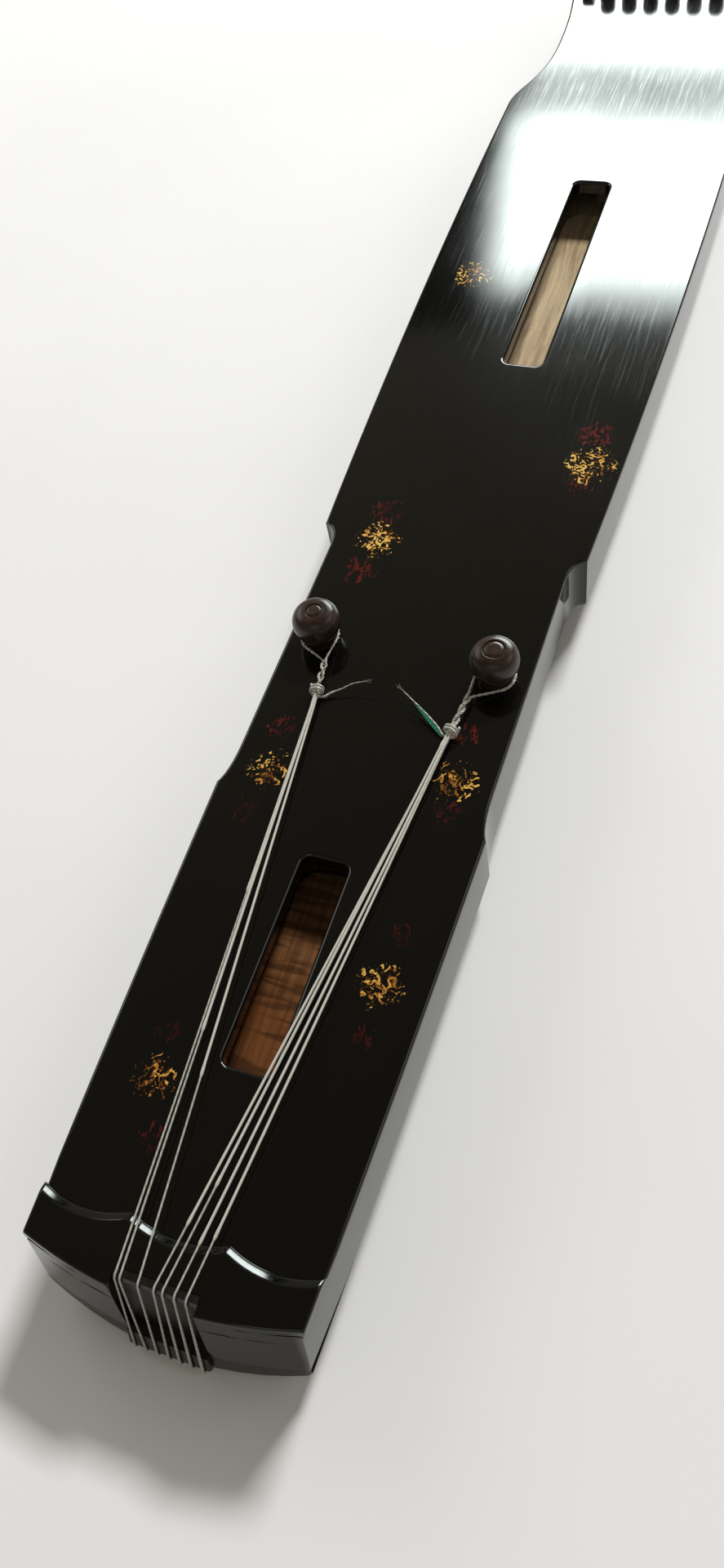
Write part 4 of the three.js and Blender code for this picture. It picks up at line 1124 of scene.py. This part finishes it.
def make_peg_guards(finish):
    """The two carved cheeks beside the pegs, their edges softened."""
    half, height, inner, thickness, soft = 23, 22, 68.5, 10, 1.3
    shoulder, corner, top = 0.84 * half, 0.76 * half, 0.4 * half
    flank = bezier([(half, 0), (shoulder, height / 2), (corner, height), (top, height)], 14)
    dip = bezier([(top, height), (0, 0.86 * height), (-top, height)], 10)
    edge = [*flank, *dip[1:-1], *((-x, z) for x, z in flank[::-1])]
    turns = np.linspace(0, QUARTER, 5)
    draw_in = [-soft * (1 - sin(turn)) for turn in turns]
    depths = [soft * (1 - cos(turn)) for turn in turns]
    depths += [thickness - depth for depth in reversed(depths)]
    points, faces = upright(edge, depths, draw_in + draw_in[::-1])
    for side, side_name in SIDE_NAMES.items():
        spots = [(PEG_X + x, side * (inner + y), BOARD_TOP + z) for x, z, y in points]
        piece = new_piece(f"peg_guard_{side_name}_carved", spots, faces)
        even_normals(finished(piece, finish))


def support_front(y):
    """The scalloped front edge of the tail support."""
    low, high = -SUPPORT_CUSP, SUPPORT_CUSP
    if abs(y) >= SUPPORT_CUSP:
        y, low, high = abs(y), SUPPORT_CUSP, half_width(SUPPORT_REACH)
    share = (y - low) / (high - low)
    return SUPPORT_REACH - 4 * SUPPORT_ARC * share * (1 - share)


def make_tail_support(lacquer):
    """The raised piece over the tail, its edges softened all round."""
    back, soft, thickness = 1.5, 1.8, SUPPORT_TOP - BOARD_TOP
    brow = [
        (0, 0), (0.7, 0.1), (1.3, 0.35), (2.1, 0.82), (3.4, 1.6), (4.2, 2.15), (4.8, 2.8),
        (5.1, 3.5), (5.2, thickness),
    ]
    outer = half_width(SUPPORT_REACH) - 0.02
    marks = [outer - soft * (1 - cos(a)) for a in np.linspace(0, QUARTER, 6)]
    marks += [
        *np.linspace(SUPPORT_CUSP, marks[-1], 13)[1:-1], *np.linspace(0, SUPPORT_CUSP, 9)[1:],
    ]
    sides = sorted(set(round(mark, 4) for mark in marks))
    rings = []
    for y in [-mark for mark in reversed(sides)] + [0] + sides:
        inset = min(outer - abs(y), soft)
        high = SUPPORT_TOP - soft + sqrt(max(0, soft ** 2 - (soft - inset) ** 2))
        brow_start = support_front(y) - brow[-1][0]
        line_high = tail_line(y, high - back)
        ring = [(tail_line(y, BOARD_TOP), y, BOARD_TOP), (line_high, y, high - back)]
        for a in np.linspace(0, QUARTER, 5)[1:]:
            rise = back * sin(a)
            ring.append((line_high + back * (1 - cos(a)), y, high - back + rise))
        level = ring[-1][0]
        ring += [(level + (brow_start - level) * share, y, high) for share in (0.35, 0.7)]
        for forward, drop in brow:
            ring.append((brow_start + forward, y, high - drop * (high - BOARD_TOP) / thickness))
        rings.append([(x, y * half_width(x) / half_width(SUPPORT_REACH), z) for x, y, z in ring])
    piece = new_piece("tail_support_scalloped", *lofted(rings), lacquer)
    cut(piece, lacquer, leaning_notch())
    even_normals(finished(piece, None))


def make_studs(finish):
    """Round studs of shell, each slightly crowned, in the face."""
    places = [1/8, 1/6, 1/5, 1/4, 1/3, 2/5, 1/2, 3/5, 2/3, 3/4, 4/5, 5/6, 7/8]
    largest, smallest = 5.6, 3.4
    for at, share in enumerate(places):
        x = BRIDGE_X - (BRIDGE_X - 4) * share
        y = -3 * (BRIDGE_SPACING * (1 - share) + NUT_SPACING * share) - 11
        slope = 2 * FACE_ARCH * y / half_width(x)
        radius = largest + (smallest - largest) * abs(at - 6) / 6
        points, faces = turned([
            (0.01, 1.1), (radius - 0.1, 1.1), (radius, 1.0), (radius, 0.05),
            (radius - 0.15, -0.06), (radius * 0.7, -0.16), (radius * 0.35, -0.2), (0.01, -0.21),
        ], 40)
        tilt = Matrix.Rotation(atan(slope), 3, "X")
        points = moved([tilt @ Vector(spot) for spot in points], x, y, face_height(x, y))
        piece = new_piece(f"position_stud_{at + 1}_polished", points, faces)
        finished(piece, finish)


def dress_node(name, finish, softening=0.0):
    """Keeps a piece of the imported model, with its finish and softened corners."""
    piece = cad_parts[name]
    for place in piece.material_slots:
        place.material = finish
    if softening:
        edge = piece.modifiers.new("softened corners", "BEVEL")
        edge.width = softening / 1000
        edge.segments = 3
        edge.limit_method = "ANGLE"
        edge.angle_limit = radians(35)
        edge.harden_normals = True


# Camera, floor and light, in metres


def place_camera():
    """The viewing angle of the photograph, from over the tail towards the head."""
    azimuth, elevation, roll = 0.542657, 0.986363, -0.253534
    frame_height, focal_length = 1920, 1460.854
    forward = Vector((
        cos(elevation) * cos(azimuth), cos(elevation) * sin(azimuth), -sin(elevation),
    ))
    level = forward.cross(Vector(UPWARD)).normalized()
    above = level.cross(forward)
    right = level * cos(roll) + above * sin(roll)
    up = above * cos(roll) - level * sin(roll)
    data = bpy.data.cameras.new("viewpoint")
    data.sensor_width = 36
    data.lens = data.sensor_width * focal_length / frame_height
    camera = into_scene("viewpoint", data)
    turn = Matrix((right, up, -forward)).transposed().to_4x4()
    camera.matrix_world = Matrix.Translation((-0.624171, -0.186225, 0.592395)) @ turn
    bpy.context.scene.camera = camera


def flat_sheet(name, corners, material):
    mesh = bpy.data.meshes.new(name)
    mesh.from_pydata(corners, [], [(0, 1, 2, 3)])
    mesh.materials.append(material)
    sheet = into_scene(name, mesh)
    return sheet


def pale_paint(place):
    stops = (0.3, (0.84, 0.84, 0.84)), (0.7, (0.88, 0.88, 0.88))
    return ramp(noise(place, 3, 3, 0.5), *stops), 0.9, None, {"Specular IOR Level": 0.2}


def make_floor():
    """A plain pale floor."""
    half = 6
    corners = [(x, y, 0) for x, y in block_plan(-half, half, half)]
    flat_sheet("floor", corners, new_finish("pale_floor", pale_paint))


def make_window():
    """A soft bright panel beyond the head, whose reflection lies in the lacquer there."""
    beyond, left, right, high, low = 1.877, 0.9, -0.8, 1.5, 0.55
    brightness, bar_shade = 21, 0.84
    material = bpy.data.materials.new("window_light")
    glow, place = surfaced(material, "ShaderNodeEmission", "ShaderNodeOutputMaterial")
    aside, height = axis(place["Object"], 1), axis(place["Object"], 2)

    def fade(value, dark, bright):
        inputs = {0: value, 1: dark, 2: bright}
        return add("MapRange", inputs, interpolation_type="SMOOTHSTEP")[0]

    pane = maths("POWER", fade(height, 1.53, 1.29), 4.2)
    pane = times(pane, fade(line(height, -0.2, aside), 0.4, 0.275))
    bar = times(fade(height, 0.95, 0.925), fade(height, 0.8, 0.83))
    pane = times(pane, line(bar, -bar_shade, 1))
    glow.inputs["Color"].default_value = tint((0.9, 1, 0.975))
    feed(glow.inputs["Strength"], times(pane, brightness))
    corners = [(left, high), (right, high), (right, low), (left, low)]
    window = flat_sheet("window", [(beyond, y, z) for y, z in corners], material)
    window.visible_camera = window.visible_diffuse = window.visible_shadow = False


def lamp(name, place, size, power):
    """A soft box that faces the middle of the floor."""
    data = bpy.data.lights.new(name, "AREA")
    data.shape = "RECTANGLE"
    data.size, data.size_y = size
    data.energy = power
    light = into_scene(name, data)
    light.location = place
    light.rotation_euler = (-Vector(place)).to_track_quat("-Z", "Y").to_euler()
    return light


def light_scene():
    """Daylight from beyond the head, soft boxes around, and a room that is darker overhead."""
    scene = bpy.context.scene
    scene.view_settings.view_transform = "Standard"
    scene.world = bpy.data.worlds.new("studio")
    glow, towards = surfaced(scene.world, "ShaderNodeBackground", "ShaderNodeOutputWorld")
    room = ramp(
        axis(towards["Generated"], 2),
        (0.0, (0.3, 0.29, 0.26)), (0.6, (0.24, 0.225, 0.18)), (0.75, (0.17, 0.155, 0.115)),
        (0.88, (0.11, 0.1, 0.075)), (1.0, (0.08, 0.07, 0.055)),
    )
    path = room.id_data.nodes.new("ShaderNodeLightPath")
    seen = path.outputs["Is Camera Ray"]
    feed(glow.inputs["Color"], mixed(seen, room, (0.97, 0.97, 0.97)))
    daylight = lamp("window light", (3.6, -0.7, 3.7), (1.2, 0.7), 260)
    daylight.visible_glossy = False
    lamp("soft box left", (0.8, 2.2, 1.7), (1.8, 1.4), 14)
    lamp("soft box right", (0.7, -2.3, 2.0), (1.8, 1.4), 9)
    lamp("soft box behind", (-2.2, -0.4, 2.2), (1.6, 1.6), 4)


place_camera()
finishes = make_finishes()
for foot_side in SIDE_NAMES:
    make_string_end(foot_side, finishes)
for foot_side in SIDE_NAMES:
    make_winding(foot_side, finishes["white thread"])
make_strings(finishes)
make_bottom_board(finishes["flecked lacquer"], finishes["lacquer"])
make_soundboard(finishes["lacquer"], finishes["bare wood"])
make_tail_support(finishes["lacquer"])
make_feet(finishes["hardwood"])
make_pegs(finishes["hardwood"])
make_peg_guards(finishes["hardwood"])
make_tuning_cords(finishes["silk cord"])
make_studs(finishes["shell"])
for node in ("tail_gate_plate", "tail_nut", "bridge"):
    dress_node(node, finishes["ebony"], 0.6)
for node in ("crown_corner_left", "crown_corner_right", "bridge_plate"):
    dress_node(node, finishes["ebony"])
for node in ("round_sound_post", "square_sound_post"):
    dress_node(node, finishes["bare wood"])
make_floor()
make_window()
light_scene()
